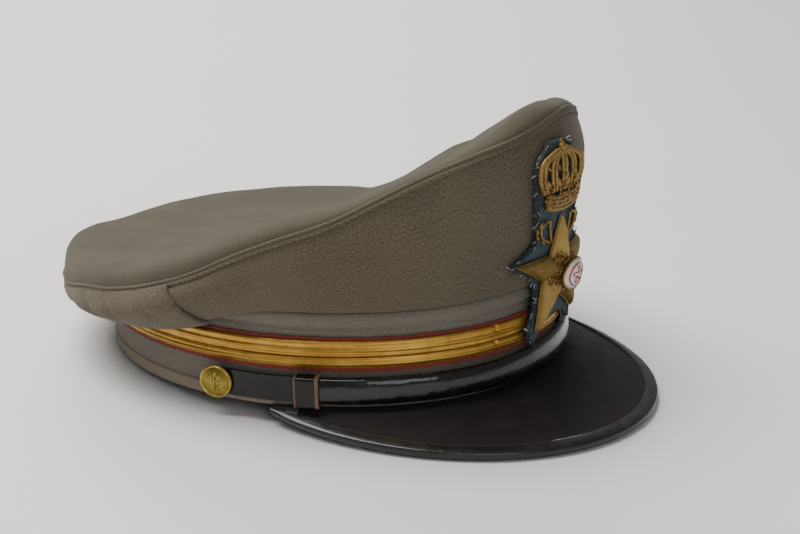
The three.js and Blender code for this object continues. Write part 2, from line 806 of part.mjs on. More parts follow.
// Round cord of bullion through places [side, high, proud] on the badge.
function cord(places, radius, steps) {
  const curve = new THREE.CatmullRomCurve3(places.map(([side, high, proud]) => onBadge(side, high, proud)));
  const section = new THREE.Shape();
  const sides = 5;
  for (let i = 0; i < sides; i += 1) {
    const turn = (i / sides) * FULL_TURN;
    if (i === 0) section.moveTo(radius * Math.cos(turn), radius * Math.sin(turn));
    else section.lineTo(radius * Math.cos(turn), radius * Math.sin(turn));
  }
  return solidOf(new THREE.ExtrudeGeometry(section, { steps, bevelEnabled: false, extrudePath: curve }));
}

// Embroidered crown: a thick circlet with five arches that meet under a ball.
function badgeCrown() {
  const foot = BADGE_HEIGHT * 0.7;
  const top = BADGE_HEIGHT * 0.94;
  const half = BADGE_HALF_WIDTH * 0.52;
  const lift = FELT + FIT + BADGE_SEAT + CORD_RADIUS;
  const pieces = [0, 1, 2].map((row) => cord(
    [-1, -0.5, 0, 0.5, 1].map((side) => [
      side * half * (1 - row * 0.02),
      foot + row * CORD_RADIUS * 1.7 - 1.5 * (1 - side * side),
      lift + 0.2,
    ]),
    CORD_RADIUS,
    6,
  ));
  [-1, -0.5, 0, 0.5, 1].forEach((side) => {
    const spread = side * half;
    pieces.push(cord([
      [spread * 0.95, foot + 3, lift],
      [spread * 1.2, lerp(foot, top, 0.45), lift + 0.2],
      [spread * 1.02, lerp(foot, top, 0.75), lift + 0.4],
      [spread * 0.15, top, lift + 0.4],
    ], CORD_RADIUS, 5));
  });
  const ball = onBadge(0, top + 1.2, lift + 0.6);
  pieces.push(solidOf(new THREE.SphereGeometry(CORD_RADIUS * 1.6, 8, 6)).translate(ball.x, ball.y, ball.z));
  return joined(pieces);
}

// Curling stem of bullion beside the star's upper point.
function badgeSpray(side) {
  const half = BADGE_HALF_WIDTH * 0.42 * side;
  const low = BADGE_HEIGHT * 0.5;
  const high = BADGE_HEIGHT * 0.625;
  const radius = CORD_RADIUS * 0.7;
  const lift = FELT + FIT + radius;
  return joined([
    cord([
      [half * 0.55, low, lift],
      [half * 1.05, lerp(low, high, 0.35), lift],
      [half * 1.1, lerp(low, high, 0.75), lift],
      [half * 0.7, high, lift],
    ], radius, 7),
    cord([
      [half * 0.5, low, lift],
      [half * 0.62, lerp(low, high, 0.5), lift],
      [half * 0.66, high, lift],
    ], radius, 6),
  ]);
}

function leather(colour, roughness) {
  return new THREE.MeshStandardMaterial({ color: colour, roughness, metalness: 0 });
}

function metal(colour, roughness) {
  return new THREE.MeshStandardMaterial({ color: colour, roughness, metalness: 0.9 });
}

const wool = new THREE.MeshStandardMaterial({ color: CLOTH_GREEN, roughness: 0.95 });
const bandCloth = new THREE.MeshStandardMaterial({ color: BAND_GREY, roughness: 0.95 });
const redCloth = new THREE.MeshStandardMaterial({ color: PIPING_RED, roughness: 0.9 });
const blueFelt = new THREE.MeshStandardMaterial({ color: FELT_BLUE, roughness: 1 });
const enamel = new THREE.MeshStandardMaterial({ color: ENAMEL_WHITE, roughness: 0.35 });
const patent = leather(PATENT_BLACK, 0.15);
const peakLeather = leather(PEAK_BLACK, 0.5);
const lacing = metal(LACE_GOLD, 0.4);
const bullion = metal(BULLION_GOLD, 0.45);

const cap = new THREE.Group();

function add(name, geometry, material) {
  const mesh = new THREE.Mesh(geometry, material);
  mesh.name = name;
  cap.add(mesh);
}

const lowerLaceFoot = BACKING_FOOT + BACKING_SHOWN_BELOW;
const backFrom = (share) => sideSeam(share) + SIDE_GAP / halfLength;
const discFoot = FELT + BADGE_SEAT + STAR_EDGE + STAR_RISE + 2 * FIT;

add('band', band(), bandCloth);
add('band_hem', hem(), wool);
add('lace_backing', laceBacking(), redCloth);
add('lace_lower', lace(lowerLaceFoot, LOWER_LACE_HEIGHT, LACE_RIDGE), lacing);
add('lace_upper', lace(lowerLaceFoot + LOWER_LACE_HEIGHT + FIT, UPPER_LACE_HEIGHT, LACE_RIDGE), lacing);
add('quarter_front', quarter((share) => -sideSeam(share), sideSeam, 28), wool);
add('quarter_back', quarter(backFrom, (share) => FULL_TURN - backFrom(share), 22), wool);
add('crown_welt', crownWelt(), wool);
add('crown_top', crownTop(), wool);
add('peak', peak(), peakLeather);
add('peak_binding', peakBinding(), peakLeather);
add('chin_strap', strap(), patent);
add('front_strap', frontStrap(), patent);
[['right', -1], ['left', 1]].forEach(([name, side]) => {
  add(`keeper_${name}`, keeper(side), patent);
  add(`button_${name}`, button(side), metal(LACE_GOLD, 0.3));
  add(`badge_spray_${name}`, badgeSpray(side), bullion);
});
add('badge_felt', badgeFelt(), blueFelt);
add('badge_crown', badgeCrown(), bullion);
add('badge_star', badgeStar(), bullion);
add('badge_boss', badgeDisc(BOSS_RADIUS, discFoot, BOSS_EDGE, BOSS_RISE), enamel);

// The cap tips back until the lowest part of the peak's rim is level with the hem's back.
const heel = onBand(Math.PI, 0, 0);
const rimPlaces = cap.getObjectByName('peak_binding').geometry.attributes.position;
let tip = 0;
for (let i = 0; i < rimPlaces.count; i += 1) {
  tip = Math.max(tip, Math.atan2(heel.z - rimPlaces.getZ(i), heel.y - rimPlaces.getY(i)));
}
cap.rotation.x = -tip;

const resting = new THREE.Group();
resting.add(cap);
const box = new THREE.Box3().setFromObject(resting, true);
const middle = box.getCenter(new THREE.Vector3());
cap.position.set(-middle.x, -middle.y, -box.min.z);

export default resting;
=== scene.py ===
"""Looks of a peaked officer's cap: wool crown and band, gold lace, patent straps, leather peak
and a stitched badge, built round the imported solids.

Sizes are millimetres in the cap's own upright frame: the head opening lies on z = 0, the peak
points to -Y and the wearer's left is +X. Each finished mesh is tipped back onto the floor and
brought into the shared frame, in metres, by HeadBand.rest.
"""
import logging
import math
import random
from dataclasses import dataclass, field
from enum import Enum
from typing import Callable, NamedTuple, Sequence

import bmesh
import bpy
from mathutils import Matrix, Vector, noise


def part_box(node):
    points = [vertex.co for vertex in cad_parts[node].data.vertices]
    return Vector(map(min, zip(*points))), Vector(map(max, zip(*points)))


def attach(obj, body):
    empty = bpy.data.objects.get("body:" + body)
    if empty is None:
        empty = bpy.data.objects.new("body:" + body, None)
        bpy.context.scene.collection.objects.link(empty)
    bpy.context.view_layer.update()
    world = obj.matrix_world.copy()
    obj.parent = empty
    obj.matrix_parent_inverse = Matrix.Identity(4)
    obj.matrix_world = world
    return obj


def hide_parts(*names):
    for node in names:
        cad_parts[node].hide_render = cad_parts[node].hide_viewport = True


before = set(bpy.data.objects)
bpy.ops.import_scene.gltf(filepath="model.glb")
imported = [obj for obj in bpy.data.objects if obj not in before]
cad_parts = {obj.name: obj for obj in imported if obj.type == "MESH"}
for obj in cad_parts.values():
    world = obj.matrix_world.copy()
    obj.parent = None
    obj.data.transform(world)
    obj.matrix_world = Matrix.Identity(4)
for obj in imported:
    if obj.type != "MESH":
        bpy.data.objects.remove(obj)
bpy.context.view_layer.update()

LOG = logging.getLogger("peaked_cap")

FIT = 0.3
FULL_TURN = 2.0 * math.pi
MILLIMETRE = 0.001
CLOTH_MAP = "cloth"
HOLLOW = "hollow"
LAST_DIGITS = 1e-4
EVEN = (1.0, 1.0, 1.0)
UP = Vector((0.0, 0.0, 1.0))

Mesh = bmesh.types.BMesh
Tree = bpy.types.NodeTree
Socket = bpy.types.NodeSocket
Pair = tuple[float, float]
Triple = tuple[float, float, float]
Outline = Sequence[Pair]
Colour = tuple[int, int, int]
Place = Callable[[float, float], Vector]


# Curves and tables

def mix(low: float, high: float, share: float) -> float:
    """Value at a share of the way from low to high."""
    return low + (high - low) * share


def soft_step(low: float, high: float, value: float) -> float:
    """Share from 0 to 1, level at both ends, of value between low and high."""
    share = min(max((value - low) / (high - low), 0.0), 1.0)
    return share * share * (3.0 - 2.0 * share)


def read_table(rows: Sequence[NamedTuple], column: str, place: float) -> float:
    """Reads a column smoothly, level at both ends, at a place in the rows' first column.

    Args:
        rows: rows of one kind, in rising order of their first column.
        column: name of the column to read.
        place: where in the first column to read it.

    Returns:
        The value there.
    """
    at = min(max(place, rows[0][0]), rows[-1][0])
    i = 0
    while i < len(rows) - 2 and rows[i + 1][0] < at:
        i += 1

    def slope(k: int) -> float:
        """Centred slope at row k."""
        if k <= 0 or k >= len(rows) - 1:
            return 0.0
        rise = getattr(rows[k + 1], column) - getattr(rows[k - 1], column)
        return rise / (rows[k + 1][0] - rows[k - 1][0])

    span = rows[i + 1][0] - rows[i][0]
    t = (at - rows[i][0]) / span
    rest = 1.0 - t
    return ((1.0 + 2.0 * t) * rest * rest * getattr(rows[i], column) + t * rest * rest * span * slope(i)
            + t * t * (3.0 - 2.0 * t) * getattr(rows[i + 1], column) - t * t * rest * span * slope(i + 1))


class SoftCurve:
    """Centripetal spline through a few points, read by its length."""

    DIVISIONS = 120

    def __init__(self, points: Sequence[Vector]) -> None:
        """Keeps the points and measures the curve.

        Args:
            points: the places that the curve passes, in order.
        """
        ends = [points[0] * 2.0 - points[1], points[-1] * 2.0 - points[-2]]
        self.points = [ends[0], *points, ends[1]]
        self.samples = [self._at(i / self.DIVISIONS) for i in range(self.DIVISIONS + 1)]
        self.lengths = [0.0]
        for near, far in zip(self.samples, self.samples[1:]):
            self.lengths.append(self.lengths[-1] + (far - near).length)

    def _at(self, t: float) -> Vector:
        """Point at a share of the way from first to last point, counted in points.

        Args:
            t: the share, from 0 to 1.

        Returns:
            The point.
        """
        place = t * (len(self.points) - 3)
        i = min(int(place), len(self.points) - 4)
        p0, p1, p2, p3 = self.points[i:i + 4]
        middle = (p2 - p1).length_squared ** 0.25
        middle = 1.0 if middle < LAST_DIGITS else middle
        before = (p1 - p0).length_squared ** 0.25
        after = (p3 - p2).length_squared ** 0.25
        before = middle if before < LAST_DIGITS else before
        after = middle if after < LAST_DIGITS else after
        start = ((p1 - p0) / before - (p2 - p0) / (before + middle) + (p2 - p1) / middle) * middle
        end = ((p2 - p1) / middle - (p3 - p1) / (middle + after) + (p3 - p2) / after) * middle
        s = place - i
        return (p1 * (2 * s ** 3 - 3 * s ** 2 + 1) + start * (s ** 3 - 2 * s ** 2 + s)
                + p2 * (3 * s ** 2 - 2 * s ** 3) + end * (s ** 3 - s ** 2))

    @property
    def length(self) -> float:
        """Length of the curve."""
        return self.lengths[-1]

    def along(self, share: float, trim_start: float = 0.0, trim_end: float = 0.0) -> Vector:
        """Point at a share of the length, with a trim left off the start and the end.

        Args:
            share: from 0 to 1 over what is left of the curve.
            trim_start: length left off the start.
            trim_end: length left off the end.

        Returns:
            The point on the curve.
        """
        reach = mix(trim_start, self.length - trim_end, share)
        low, high = 0, self.DIVISIONS
        while high - low > 1:
            half = (low + high) // 2
            low, high = (half, high) if self.lengths[half] <= reach else (low, half)
        step = max(self.lengths[high] - self.lengths[low], LAST_DIGITS)
        return self.samples[low].lerp(self.samples[high], (reach - self.lengths[low]) / step)


def rounded(corners: Outline, radius: float, steps: int = 3) -> Outline:
    """Rounds every corner of a closed section.

    Args:
        corners: the section's corners in order.
        radius: how far before and after a corner its round starts and ends, at most.
        steps: pieces of each round.

    Returns:
        The rounded section's points in order.
    """
    points = []
    for i, corner in enumerate(corners):
        here = Vector(corner)
        before = Vector(corners[i - 1]) - here
        after = Vector(corners[(i + 1) % len(corners)]) - here
        cut = min(radius, before.length * 0.45, after.length * 0.45)
        start, end = here + before.normalized() * cut, here + after.normalized() * cut
        for k in range(steps + 1):
            t = k / steps
            point = start * (1 - t) ** 2 + here * 2 * t * (1 - t) + end * t * t
            points.append((point.x, point.y))
    return points


def even_section(corners: Outline, step: float) -> Outline:
    """Divides a closed section evenly.

    Args:
        corners: the section's points in order.
        step: greatest distance between two points.

    Returns:
        The section with more points on its long sides.
    """
    points = []
    for i, corner in enumerate(corners):
        ahead = corners[(i + 1) % len(corners)]
        parts = max(1, math.ceil(math.dist(corner, ahead) / step))
        for k in range(parts):
            points.append((mix(corner[0], ahead[0], k / parts), mix(corner[1], ahead[1], k / parts)))
    return points


def section_shares(points: Outline) -> list[float]:
    """Measures a closed section.

    Args:
        points: the section's points in order.

    Returns:
        The share of the way round at each point, with 1 for the closing one.
    """
    shares, whole = [0.0], section_length(points)
    for i, point in enumerate(points):
        shares.append(shares[-1] + math.dist(point, points[(i + 1) % len(points)]) / whole)
    return shares


def pick(section: Outline, share: float) -> Pair:
    """Point of a closed section at a share of the way through its list."""
    return section[round(share * len(section)) % len(section)]


# Mesh bench

def lay_grid(bm: Mesh, along: int, across: int, place: Place,
             size: Pair) -> None:
    """Adds a grid, gives it a cloth map in millimetres and bends it to its shape.

    Args:
        bm: the mesh to add to.
        along: faces along the first direction.
        across: faces along the second direction.
        place: gives the point at shares 0 to 1 of the two directions.
        size: real length of the two directions.
    """
    cloth = bm.loops.layers.uv.get(CLOTH_MAP) or bm.loops.layers.uv.new(CLOTH_MAP)
    verts = bmesh.ops.create_grid(bm, x_segments=along, y_segments=across, size=0.5)["verts"]
    for face in {face for vert in verts for face in vert.link_faces}:
        for loop in face.loops:
            loop[cloth].uv = ((loop.vert.co.x + 0.5) * size[0], (loop.vert.co.y + 0.5) * size[1])
    for vert in verts:
        vert.co = place(vert.co.x + 0.5, vert.co.y + 0.5)
    bmesh.ops.remove_doubles(bm, verts=verts, dist=LAST_DIGITS)


def even_map(bm: Mesh, count: int, shares: Sequence[float], length: float) -> None:
    """Spreads a cloth map evenly round a section whose points lie unevenly.

    Args:
        bm: a mesh with a fresh map.
        count: number of the section's sides.
        shares: true share of the way round at each of its points.
        length: length round the section.
    """
    cloth = bm.loops.layers.uv[CLOTH_MAP]
    for face in bm.faces:
        for loop in face.loops:
            along, across = loop[cloth].uv
            loop[cloth].uv = (along, shares[round(across / length * count)] * length)


def section_length(points: Outline) -> float:
    """Length round a closed section."""
    return sum(math.dist(point, points[i - 1]) for i, point in enumerate(points))


def ring(count: int) -> list[float]:
    """Angles of count places spread evenly round a full turn."""
    return [FULL_TURN * i / count for i in range(count)]


def face_out(bm: Mesh, centre: Vector) -> None:
    """Turns the faces of an open sheet away from a centre.

    Args:
        bm: the sheet.
        centre: a point behind the sheet.
    """
    bmesh.ops.recalc_face_normals(bm, faces=bm.faces[:])
    facing = sum(face.normal.dot(face.calc_center_median() - centre) * face.calc_area() for face in bm.faces)
    if facing < 0.0:
        bmesh.ops.reverse_faces(bm, faces=bm.faces[:])


def close_ends(bm: Mesh) -> None:
    """Fills the open ends of a strip."""
    rims = [edge for edge in bm.edges if edge.is_boundary]
    if rims:
        bmesh.ops.holes_fill(bm, edges=rims, sides=0)


def waver(point: Vector, size: float, seed: float = 0.0) -> float:
    """Smooth uneven value from -1 to 1 that changes over about size millimetres."""
    return noise.noise(point / size + Vector((seed, -seed, seed * 0.5)))


def add_cord(bm: Mesh, route: Sequence[Vector], radius: float, out: Vector, sides: int = 7,
             step: float = 1.0, strands: int = 0, lay: float = 3.0) -> None:
    """Adds a round cord with round ends, plain or twisted from strands.

    Args:
        bm: the mesh to add to.
        route: places that the cord passes.
        radius: its radius.
        out: a direction that is never along the cord.
        sides: faces round the cord.
        step: length of a face along the cord.
        strands: number of twisted strands, 0 for a plain cord.
        lay: length in which a strand goes once round.
    """
    curve = SoftCurve(route)
    steps = max(4, round(curve.length / step))

    def place(share: float, turn: float) -> Vector:
        """Point of the cord's skin at a share of its length and of a turn."""
        even = 0.5 - 0.5 * math.cos(share * math.pi) if steps < 12 else share
        reach = even * curve.length
        nudge = min(0.02, 0.5 / steps)
        ahead, behind = curve.along(min(even + nudge, 1.0)), curve.along(max(even - nudge, 0.0))
        run = (ahead - behind).normalized()
        side = run.cross(out).normalized()
        up = side.cross(run)
        end = min(reach, curve.length - reach) / radius
        thick = radius * math.sqrt(max(0.0, 1.0 - max(0.0, 1.0 - end) ** 2))
        angle = turn * FULL_TURN
        if strands:
            wave = abs(math.cos(strands * 0.5 * (angle + FULL_TURN * reach / lay)))
            thick *= 0.78 + 0.22 * wave
        return curve.along(even) + (side * math.cos(angle) + up * math.sin(angle)) * thick

    lay_grid(bm, steps, sides, place, (curve.length, FULL_TURN * radius))


def add_bead(bm: Mesh, middle: Vector, run: Vector, out: Vector,
             sizes: Triple, segments: tuple[int, int] = (6, 4)) -> None:
    """Adds one bead, stitch or leaf: a ball stretched along three directions.

    Args:
        bm: the mesh to add to.
        middle: its centre.
        run: direction of its length.
        out: direction out of the surface that it lies on.
        sizes: half length, half width and half height.
        segments: faces round it and along it.
    """
    length = run.normalized()
    side = length.cross(out).normalized()
    up = side.cross(length)
    turn = Matrix((side * sizes[1], up * sizes[2], length * sizes[0])).transposed().to_4x4()
    bmesh.ops.create_uvsphere(bm, u_segments=segments[0], v_segments=segments[1], radius=1.0,
                              matrix=Matrix.Translation(middle) @ turn)


# Shader bench

def paint(colour: Colour, gain: float = 1.0) -> tuple[float, float, float, float]:
    """Linear colour for a shader from a colour in 0 to 255."""
    parts = [((c / 255 + 0.055) / 1.055) ** 2.4 if c > 10 else c / 255 / 12.92 for c in colour]
    return tuple(part * gain for part in parts) + (1.0,)


class Space(Enum):
    """Where a pattern takes its place from, in millimetres."""

    CLOTH = "the piece's own cloth map"
    SOLID = "Object coordinates"


class Desk:
    """Adds and links the nodes of one material or one group."""

    def __init__(self, tree: Tree) -> None:
        """Keeps the node tree to work on."""
        self.tree = tree

    def add(self, kind: str, settings: dict | None = None, **inputs: object) -> bpy.types.Node:
        """Adds a node.

        Args:
            kind: type of the node, without the ShaderNode in front.
            settings: its properties.
            **inputs: socket names, with _ for a space, and what feeds them.

        Returns:
            The node.
        """
        node = self.tree.nodes.new("ShaderNode" + kind)
        for name, value in (settings or {}).items():
            setattr(node, name, value)
        for name, value in inputs.items():
            self.feed(node.inputs[name.replace("_", " ")], value)
        return node

    def feed(self, socket: Socket, value: object) -> None:
        """Links a socket or sets its value.

        Args:
            socket: the input to feed.
            value: another socket, or a value.
        """
        if isinstance(value, Socket):
            self.tree.links.new(value, socket)
        else:
            socket.default_value = value

    def math(self, operation: str, first: object, second: object = 0.0, kind: str = "Math",
             ) -> Socket:
        """Works out a number, or a vector.

        Args:
            operation: the node's operation.
            first: first input.
            second: second input.
            kind: Math or VectorMath.

        Returns:
            The result's socket.
        """
        node = self.add(kind, {"operation": operation})
        self.feed(node.inputs[0], first)
        self.feed(node.inputs[1], second)
        return node.outputs[0]

    def wave(self, place: object) -> Socket:
        """Wave from 0 to 1 that repeats at every whole number."""
        return self.span(self.math("SINE", self.math("MULTIPLY", place, FULL_TURN)), -1.0, 1.0)

    def blend(self, share: object, first: object, second: object) -> Socket:
        """Mixes two colours.

        Args:
            share: how much of the second is taken.
            first: first colour.
            second: second colour.

        Returns:
            The mixed colour's socket.
        """
        node = self.add("Mix", {"data_type": "RGBA"})
        self.feed(node.inputs[0], share)
        self.feed(node.inputs[6], first)
        self.feed(node.inputs[7], second)
        return node.outputs[2]

    def tint(self, colour: object, mask: object, amount: float, other: object) -> Socket:
        """Colour that turns by an amount to another one where a mask is high."""
        return self.blend(self.math("MULTIPLY", mask, amount), colour, other)

    def span(self, value: object, low: float, high: float, to_low: float = 0.0, to_high: float = 1.0,
             ) -> Socket:
        """Value moved from one range to another, held at both ends."""
        return self.add("MapRange", Value=value, From_Min=low, From_Max=high,
                        To_Min=to_low, To_Max=to_high).outputs[0]

    def space(self, space: Space) -> Socket:
        """Reads the place of a pattern.

        Args:
            space: where the place is taken from.

        Returns:
            The place's socket, in millimetres.
        """
        if space is Space.CLOTH:
            return self.add("UVMap", {"uv_map": CLOTH_MAP}).outputs[0]
        solid = self.add("TexCoord").outputs["Object"]
        scaled = self.add("VectorMath", {"operation": "SCALE"}, Vector=solid, Scale=1.0 / MILLIMETRE)
        return scaled.outputs[0]

    def effect(self, name: str, place: Socket, **inputs: object) -> bpy.types.Node:
        """Places a shared effect with its own values.

        Args:
            name: the effect's name.
            place: the place that its pattern reads.
            **inputs: its other inputs and what feeds them.

        Returns:
            The group's node.
        """
        return self.add("Group", {"node_tree": Effects.get(name)}, Vector=place, **inputs)

    def finish(self, **inputs: object) -> None:
        """Adds the surface shader and joins it to the output.

        Args:
            **inputs: the shader's inputs, with _ for a space, and what feeds them.
        """
        shader = self.add("BsdfPrincipled", None, **inputs)
        output = self.add("OutputMaterial")
        self.tree.links.new(shader.outputs[0], output.inputs[0])

    def bump(self, height: object, depth: float) -> Socket:
        """Normal of a height from 0 to 1 that is depth millimetres high."""
        return self.add("Bump", Height=height, Distance=depth * MILLIMETRE, Strength=1.0).outputs[0]


def new_material(name: str) -> tuple[bpy.types.Material, Desk]:
    """Starts an empty node material.

    Args:
        name: the material's name.

    Returns:
        The material and a desk for its nodes.
    """
    material = bpy.data.materials.new(name)
    material.use_nodes = True
    material.node_tree.nodes.clear()
    return material, Desk(material.node_tree)


def new_group(name: str, inputs: dict[str, float | None], outputs: Sequence[str],
              ) -> tuple[Tree, Desk, bpy.types.Node, Callable[[str, object], None]]:
    """Starts a node group with number sockets, and vector sockets where the value is None.

    Args:
        name: the group's name.
        inputs: names and default values of its inputs.
        outputs: names of its outputs, all numbers.

    Returns:
        The group, its desk, its input node and a function that feeds an output.
    """
    group = bpy.data.node_groups.new(name, "ShaderNodeTree")
    for socket, value in inputs.items():
        kind = "NodeSocketVector" if value is None else "NodeSocketFloat"
        made = group.interface.new_socket(name=socket, in_out="INPUT", socket_type=kind)
        if value is not None:
            made.default_value = value
    for socket in outputs:
        group.interface.new_socket(name=socket, in_out="OUTPUT", socket_type="NodeSocketFloat")
    start = group.nodes.new("NodeGroupInput")
    end = group.nodes.new("NodeGroupOutput")

    def give(socket: str, value: object) -> None:
        """Feeds one output of the group."""
        group.links.new(value, end.inputs[socket])

    return group, Desk(group), start, give


def weave_group() -> Tree:
    """Slanting ribs of twill crossed by finer threads.

    Returns:
        The group, with the ribs' height and the threads' uneven tone.
    """
    group, desk, start, give = new_group(
        "Weave", {"Vector": None, "Pitch": 1.0, "Turn": 0.7, "Wander": 0.3}, ["Height", "Tone"])
    place = start.outputs["Vector"]
    turned = desk.add("VectorRotate", {"rotation_type": "Z_AXIS"}, Vector=place,
                      Angle=start.outputs["Turn"])
    parts = desk.add("SeparateXYZ", Vector=turned.outputs[0])
    drift = desk.add("TexNoise", Vector=place, Scale=0.22, Detail=3.0).outputs[0]
    shift = desk.math("MULTIPLY", desk.math("SUBTRACT", drift, 0.5), start.outputs["Wander"])
    across = desk.math("ADD", desk.math("DIVIDE", parts.outputs[0], start.outputs["Pitch"]), shift)
    rib = desk.wave(across)
    down = desk.math("DIVIDE", parts.outputs[1], desk.math("MULTIPLY", start.outputs["Pitch"], 0.55))
    thread = desk.wave(down)
    give("Height", desk.math("ADD", desk.math("MULTIPLY", rib, 0.72), desk.math("MULTIPLY", thread, 0.28)))
    slub = desk.add("TexNoise", Vector=turned.outputs[0], Scale=0.9, Detail=4.0, Roughness=0.7).outputs[0]
    give("Tone", desk.span(slub, 0.3, 0.7))
    return group


def fibre_group() -> Tree:
    """Short nap of loose fibres, drawn out along one direction.

    Returns:
        The group, with the nap's height, its light flecks and its mixed light and dark fibres.
    """
    group, desk, start, give = new_group(
        "Fibres", {"Vector": None, "Stretch": None, "Fineness": 2.0}, ["Height", "Fleck", "Melange"])
    drawn = desk.math("MULTIPLY", start.outputs["Vector"], start.outputs["Stretch"], "VectorMath")
    fine = desk.add("TexNoise", Vector=drawn, Scale=start.outputs["Fineness"], Detail=5.0, Roughness=0.75)
    give("Height", fine.outputs[0])
    give("Melange", desk.span(fine.outputs[0], 0.4, 0.6))
    more = desk.math("MULTIPLY", start.outputs["Fineness"], 1.9)
    fleck = desk.add("TexNoise", Vector=drawn, Scale=more, Detail=2.0, Roughness=0.6)
    give("Fleck", desk.span(fleck.outputs[0], 0.56, 0.72))
    return group


def patch_group() -> Tree:
    """Broad uneven patches of fading, dust or wear.

    Returns:
        The group, with the patches' mask.
    """
    group, desk, start, give = new_group("Patches", {"Vector": None, "Size": 30.0, "Bare": 0.5}, ["Mask"])
    scale = desk.math("DIVIDE", 1.0, start.outputs["Size"])
    cloud = desk.add("TexNoise", Vector=start.outputs["Vector"], Scale=scale, Detail=6.0, Roughness=0.65)
    low = desk.math("SUBTRACT", start.outputs["Bare"], 0.12)
    high = desk.math("ADD", start.outputs["Bare"], 0.12)
    ranged = desk.add("MapRange", Value=cloud.outputs[0], From_Min=low, From_Max=high)
    give("Mask", ranged.outputs[0])
    return group


def crackle_group() -> Tree:
    """Fine cracks and crumpled plates of old varnish.

    Returns:
        The group, with a mask of the cracks and the height of the plates.
    """
    group, desk, start, give = new_group(
        "Crackle", {"Vector": None, "Size": 2.0, "Stretch": 1.0}, ["Crack", "Height"])
    stretch = desk.add("CombineXYZ", X=start.outputs["Stretch"], Y=1.0, Z=1.0)
    drawn = desk.math("MULTIPLY", start.outputs["Vector"], stretch.outputs[0], "VectorMath")
    warp = desk.add("TexNoise", Vector=drawn, Scale=0.5, Detail=3.0)
    bent = desk.math("ADD", drawn, warp.outputs["Color"], "VectorMath")
    scale = desk.math("DIVIDE", 1.0, start.outputs["Size"])
    edge = desk.add("TexVoronoi", {"feature": "DISTANCE_TO_EDGE"}, Vector=bent, Scale=scale)
    give("Crack", desk.span(edge.outputs["Distance"], 0.0, 0.07, 1.0, 0.0))
    crumple = desk.add("TexNoise", Vector=bent, Scale=scale, Detail=4.0, Roughness=0.55).outputs[0]
    plates = desk.math("MULTIPLY", desk.span(edge.outputs["Distance"], 0.0, 0.12), 0.3)
    give("Height", desk.math("ADD", plates, desk.math("MULTIPLY", crumple, 0.7)))
    return group


def wire_group() -> Tree:
    """Metal wire wound side by side, with uneven tarnish.

    Returns:
        The group, with the windings' height and the tarnish.
    """
    group, desk, start, give = new_group(
        "Wire", {"Vector": None, "Pitch": 0.6, "Cross": 0.9}, ["Height", "Tarnish"])
    parts = desk.add("SeparateXYZ", Vector=start.outputs["Vector"])
    wobble = desk.add("TexNoise", Vector=start.outputs["Vector"], Scale=0.8, Detail=3.0).outputs[0]
    along = desk.math("ADD", desk.math("DIVIDE", parts.outputs[0], start.outputs["Pitch"]), wobble)
    across = desk.math("DIVIDE", parts.outputs[1], start.outputs["Cross"])
    wound = desk.math("MULTIPLY", desk.wave(along), 0.6)
    give("Height", desk.math("ADD", wound, desk.math("MULTIPLY", desk.wave(across), 0.4)))
    cloud = desk.add("TexNoise", Vector=start.outputs["Vector"], Scale=0.35, Detail=6.0, Roughness=0.8)
    give("Tarnish", desk.span(cloud.outputs[0], 0.38, 0.68))
    return group


class Effects:
    """The shared shader groups, each made once when it is first asked for."""

    MAKERS: dict[str, Callable[[], Tree]] = {
        "Weave": weave_group, "Fibres": fibre_group, "Patches": patch_group,
        "Crackle": crackle_group, "Wire": wire_group,
    }

    @classmethod
    def get(cls, name: str) -> Tree:
        """Returns the group of that name."""
        return bpy.data.node_groups.get(name) or cls.MAKERS[name]()


# Finishes

@dataclass(frozen=True)
class WoolFinish:
    """Wool cloth with a twill rib or a plain felted face and a short nap."""

    name: str
    colour: Colour
    shade: Colour
    fleck: Colour
    pitch: float = 1.0
    turn: float = 50.0
    rib: float = 0.12
    nap: float = 0.1
    ribbed: float = 0.6
    melange: float = 0.5
    grain: float = 1.3
    drawn: float = 0.45

    def material(self) -> bpy.types.Material:
        """Builds the cloth's shader.

        Returns:
            The material.
        """
        material, desk = new_material(self.name)
        place, solid = desk.space(Space.CLOTH), desk.space(Space.SOLID)
        weave = desk.effect("Weave", place, Pitch=self.pitch, Turn=math.radians(self.turn), Wander=0.8)
        nap = desk.effect("Fibres", place, Fineness=self.grain, Stretch=(1.0, self.drawn, 1.0))
        faded = desk.effect("Patches", solid, Size=38.0, Bare=0.52)
        ribs = desk.math("MULTIPLY", weave.outputs["Height"], self.ribbed)
        lit = desk.math("ADD", ribs, (1.0 - self.ribbed) * 0.6)
        colour = desk.blend(lit, paint(self.shade), paint(self.colour))
        mixed = desk.blend(nap.outputs["Melange"], paint(self.shade), paint(self.fleck))
        colour = desk.blend(self.melange, colour, mixed)
        colour = desk.tint(colour, weave.outputs["Tone"], 0.2, paint(self.shade))
        colour = desk.tint(colour, faded.outputs["Mask"], 0.14, paint(self.fleck))
        rib = desk.bump(weave.outputs["Height"], self.rib)
        fuzz = desk.add("Bump", Height=nap.outputs["Height"], Distance=self.nap * MILLIMETRE,
                        Strength=1.0, Normal=rib)
        desk.finish(Base_Color=colour, Roughness=0.95, Sheen_Weight=0.12, Sheen_Roughness=0.5,
                    Specular_IOR_Level=0.15, Normal=fuzz.outputs[0])
        return material


